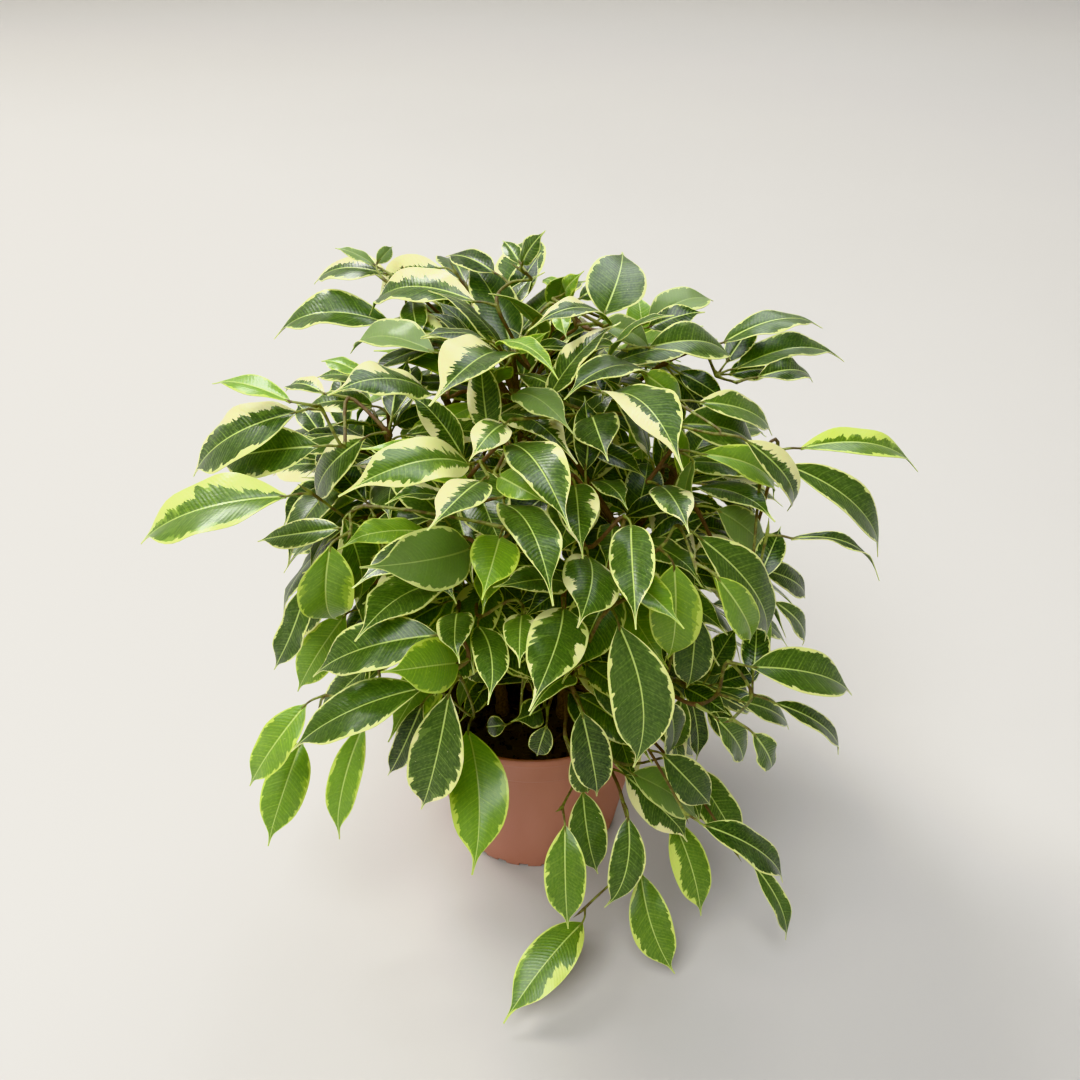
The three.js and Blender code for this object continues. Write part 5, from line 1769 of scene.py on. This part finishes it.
def colour_property(name, description, *screen):
    """A colour given by its screen values from 0 to 255."""
    linear = [c / 255 / 12.92 if c <= 10 else ((c / 255 + 0.055) / 1.055) ** 2.4 for c in screen]
    return FloatVectorProperty(
        name=name, description=description, subtype="COLOR", min=0, max=1, default=linear
    )


def share_property(name, description, default):
    return FloatProperty(
        name=name, description=description, subtype="FACTOR", min=0, max=1, default=default
    )


def length_property(name, description, low, high, default):
    return FloatProperty(
        name=name, description=description, unit="LENGTH", min=low, max=high, default=default
    )


def power_property(name, description, default):
    return FloatProperty(
        name=name, description=description, unit="POWER", min=0, max=500, default=default
    )


class FigLeafSettings(PropertyGroup):
    deep: colour_property("Deep green", "The darkest leaves", 23, 37, 22)
    green: colour_property("Green", "The lighter grown leaves", 64, 87, 45)
    middle: colour_property("Middle green", "Patches between green and cream", 110, 132, 72)
    cream: colour_property("Cream", "The margin and its patches", 243, 240, 178)
    young: colour_property("Young green", "Leaves that are still growing", 112, 148, 54)
    young_edge: colour_property("Young edge", "The margin of young leaves", 184, 208, 70)
    rib: colour_property("Midrib", "The midrib", 200, 218, 124)
    vein: colour_property("Veins", "The fine side veins", 148, 178, 84)
    underside: colour_property("Underside", "The dull underside of the leaves", 122, 142, 86)
    roughness: share_property("Roughness", "How dull the upper side is", 0.36)
    wax: share_property("Wax", "How much wax lies on the leaves", 0.25)
    glow: share_property("Glow", "How much light passes through a leaf", 0.3)
    vein_depth: length_property("Vein depth", "How deep the veins are sunk", 0, 0.001, 0.00012)


class FigWoodSettings(PropertyGroup):
    bark: colour_property("Bark", "Old bark", 74, 55, 38)
    pale_bark: colour_property("Pale bark", "The pale grain and pores of the bark", 128, 102, 74)
    twig: colour_property("Twig", "Young twigs", 98, 86, 54)
    stalk: colour_property("Stalk", "Leaf stalks and buds", 142, 152, 78)


class FigSoilSettings(PropertyGroup):
    dark: colour_property("Dark peat", "Damp peat", 15, 11, 8)
    light: colour_property("Light peat", "Drier peat", 44, 33, 25)
    fibre: colour_property("Fibre", "Fibres in the peat", 92, 72, 50)
    crumbs: IntProperty(
        name="Crumbs", description="How many lie on the surface", min=0, max=2500, default=1100
    )
    crumb_size: length_property("Crumb size", "The largest crumb's radius", 0.0005, 0.004, 0.0021)


class FigPotSettings(PropertyGroup):
    plastic: colour_property("Plastic", "The pot's plastic", 188, 129, 109)
    plastic_light: colour_property("Light plastic", "Where it flowed paler", 196, 139, 119)
    scuff: colour_property("Scuff", "Scuffs near the foot", 190, 150, 132)
    roughness: share_property("Roughness", "How dull the plastic is", 0.46)


class FigStageSettings(PropertyGroup):
    floor: colour_property("Floor", "The pale floor", 196, 193, 188)
    key: power_property("Window light", "The large light behind on the left", 86)
    back: power_property("Back light", "The light behind on the right", 32)
    fill: power_property("Fill light", "The wide light above the viewer", 106)
    air: FloatProperty(
        name="Air light", description="The even light from all round", min=0, max=5, default=0.03
    )


# Stage, in metres: a round floor that turns up into a wall far out, the lights and the camera.
FLOOR_RADIUS = 3.2
FLOOR_FLAT = 0.9
WALL_BEND = 1.2
WALL_TOP = 3.6
WALL_STEPS = 10
WALL_SIDES = 96
# Each light: the setting of its power, its place, its width and its tint.
LIGHTS = (
    ("window_light", "key", (-1.7, 1.2, 2.7), 1.2, (1.0, 0.985, 0.95)),
    ("back_light", "back", (0.9, 2.0, 2.4), 1.8, (0.93, 0.96, 1.0)),
    ("fill_light", "fill", (-0.8, -1.6, 2.9), 2.4, (0.97, 0.985, 1.0)),
)
LIT_PLACE = Vector((0, 0, 0.14))
AIR_TINT = (0.93, 0.96, 1.0, 1)
SENSOR = 36
CLIP_START = 0.01


def floor_mesh():
    """A flat round floor that curves up into a wall on every side, far behind the plant."""
    bends = np.linspace(0, math.pi / 2, WALL_STEPS)
    outer = FLOOR_RADIUS + WALL_BEND
    radii = [FLOOR_FLAT * FLOOR_RADIUS, *(FLOOR_RADIUS + WALL_BEND * np.sin(bends)), outer]
    heights = [0, *(WALL_BEND * (1 - np.cos(bends))), WALL_TOP]
    turns = full_turn(WALL_SIDES)
    points = np.concatenate([ring(radius, turns, z) for radius, z in zip(radii, heights)])
    faces = grid_faces(len(radii), WALL_SIDES, wrapped=True, flipped=True).tolist()
    mesh = mesh_of("floor", points, [*faces, list(range(WALL_SIDES))])
    mesh.shade_smooth()
    return mesh


def add_light(name, place, width, power, tint):
    lamp = bpy.data.lights.new(name, "AREA")
    lamp.shape, lamp.size, lamp.energy, lamp.color = "DISK", width, power, tint
    light = linked(name, lamp)
    light.location = place
    light.rotation_euler = (LIT_PLACE - Vector(place)).to_track_quat("-Z", "Y").to_euler()


def set_air(scene, strength):
    """Even light from all round."""
    scene.world = bpy.data.worlds.new("even_light")
    scene.world.use_nodes = True
    tint, power = scene.world.node_tree.nodes["Background"].inputs[:2]
    tint.default_value, power.default_value = AIR_TINT, strength


def set_camera(scene):
    lens = bpy.data.cameras.new("camera")
    lens.sensor_width = SENSOR
    lens.lens = SENSOR * FOCAL_PX / (2 * CENTRE_PX)
    lens.clip_start = CLIP_START
    scene.camera = linked("camera", lens)
    scene.camera.location = Vector(EYE) * MM
    scene.camera.rotation_euler = (math.pi / 2 - LOOK_DOWN, 0, -LOOK_RIGHT)


class FIG_OT_stage(Operator):
    """Lay the floor, and set the lights and the camera"""

    bl_idname = "fig.stage"
    bl_label = "Stage"

    def execute(self, context):
        size = context.scene.fig_stage
        mesh = floor_mesh()
        mesh.materials.append(floor_finish(size.floor))
        floor = linked("floor", mesh)
        for name, setting, place, width, tint in LIGHTS:
            add_light(name, place, width, getattr(size, setting), tint)
        set_air(context.scene, size.air)
        set_camera(context.scene)
        context.scene.view_settings.view_transform = "Khronos PBR Neutral"
        return {"FINISHED"}


class FIG_OT_pot(Operator):
    """Turn the pot from its profile, with its notches and drain holes"""

    bl_idname = "fig.pot"
    bl_label = "Pot"

    def execute(self, context):
        mesh = drilled(pot_shell())
        mesh.name = "nursery_pot"
        finish = pot_finish(context.scene.fig_pot)
        add_piece("nursery_pot", mesh, finish, POT_SHARP_ANGLE, "pot_plastic", "pot")
        return {"FINISHED"}


class FIG_OT_soil(Operator):
    """Fill the pot with peat, its surface uneven and crumbly"""

    bl_idname = "fig.soil"
    bl_label = "Soil"

    def execute(self, context):
        size = context.scene.fig_soil
        heap = Heap()
        add_soil_body(heap)
        add_crumbs(heap, size.crumbs, size.crumb_size / MM)
        heap.piece("peat", soil_finish(size), "peat", "soil")
        return {"FINISHED"}


def leaves_of(growth, owner):
    for shoot in (*growth.shoots, *growth.stem_shoots):
        if shoot.owner == owner:
            yield from shoot.leaves


class FIG_OT_stems(Operator):
    """Grow the stems with their twigs, stalks and buds"""

    bl_idname = "fig.stems"
    bl_label = "Stems and twigs"

    def execute(self, context):
        finish = wood_finish(context.scene.fig_wood)
        growth = grown_plant()
        for owner, stem in enumerate(STEMS):
            heap = Heap()
            add_stem(heap, stem, owner)
            for shoot in growth.shoots:
                if shoot.owner == owner:
                    add_shoot(heap, shoot)
            for leaf in leaves_of(growth, owner):
                add_petiole(heap, leaf)
            heap.piece(stem[0].replace("leafy_stem", "wood"), finish, "foliage")
        return {"FINISHED"}


class FIG_OT_leaves(Operator):
    """Grow the leaves, each stem's as one piece"""

    bl_idname = "fig.leaves"
    bl_label = "Leaves"

    def execute(self, context):
        finish = LeafNodes(context.scene.fig_leaf).finish()
        growth = grown_plant()
        for owner, (node, _, _) in enumerate(STEMS):
            heap = Heap()
            dice = Dice(owner * LEAF_SEED_STEP + LEAF_SEED)
            for leaf in leaves_of(growth, owner):
                add_leaf(heap, leaf, dice)
            heap.piece(node.replace("leafy_stem", "leaves"), finish, "foliage", node)
        return {"FINISHED"}


class FIG_PT_plant(Panel):
    """The fig's pieces and what may be changed about them"""

    bl_label = "Potted weeping fig"
    bl_space_type = "VIEW_3D"
    bl_region_type = "UI"
    bl_category = "Fig"

    def draw(self, context):
        for kind, settings, _ in PARTS:
            box = self.layout.box()
            box.operator(kind.bl_idname)
            group = getattr(context.scene, settings)
            for name in group.__annotations__:
                box.prop(group, name)


PARTS = (
    (FIG_OT_stage, "fig_stage", FigStageSettings),
    (FIG_OT_pot, "fig_pot", FigPotSettings),
    (FIG_OT_soil, "fig_soil", FigSoilSettings),
    (FIG_OT_stems, "fig_wood", FigWoodSettings),
    (FIG_OT_leaves, "fig_leaf", FigLeafSettings),
)


def register():
    for kind, settings, group in PARTS:
        bpy.utils.register_class(group)
        setattr(bpy.types.Scene, settings, PointerProperty(type=group))
        bpy.utils.register_class(kind)
    bpy.utils.register_class(FIG_PT_plant)


def unregister():
    bpy.utils.unregister_class(FIG_PT_plant)
    for kind, settings, group in reversed(PARTS):
        bpy.utils.unregister_class(kind)
        delattr(bpy.types.Scene, settings)
        bpy.utils.unregister_class(group)


def main():
    register()
    bpy.ops.fig.stage()
    bpy.ops.fig.pot()
    bpy.ops.fig.soil()
    bpy.ops.fig.stems()
    bpy.ops.fig.leaves()


if __name__ == "__main__":
    main()
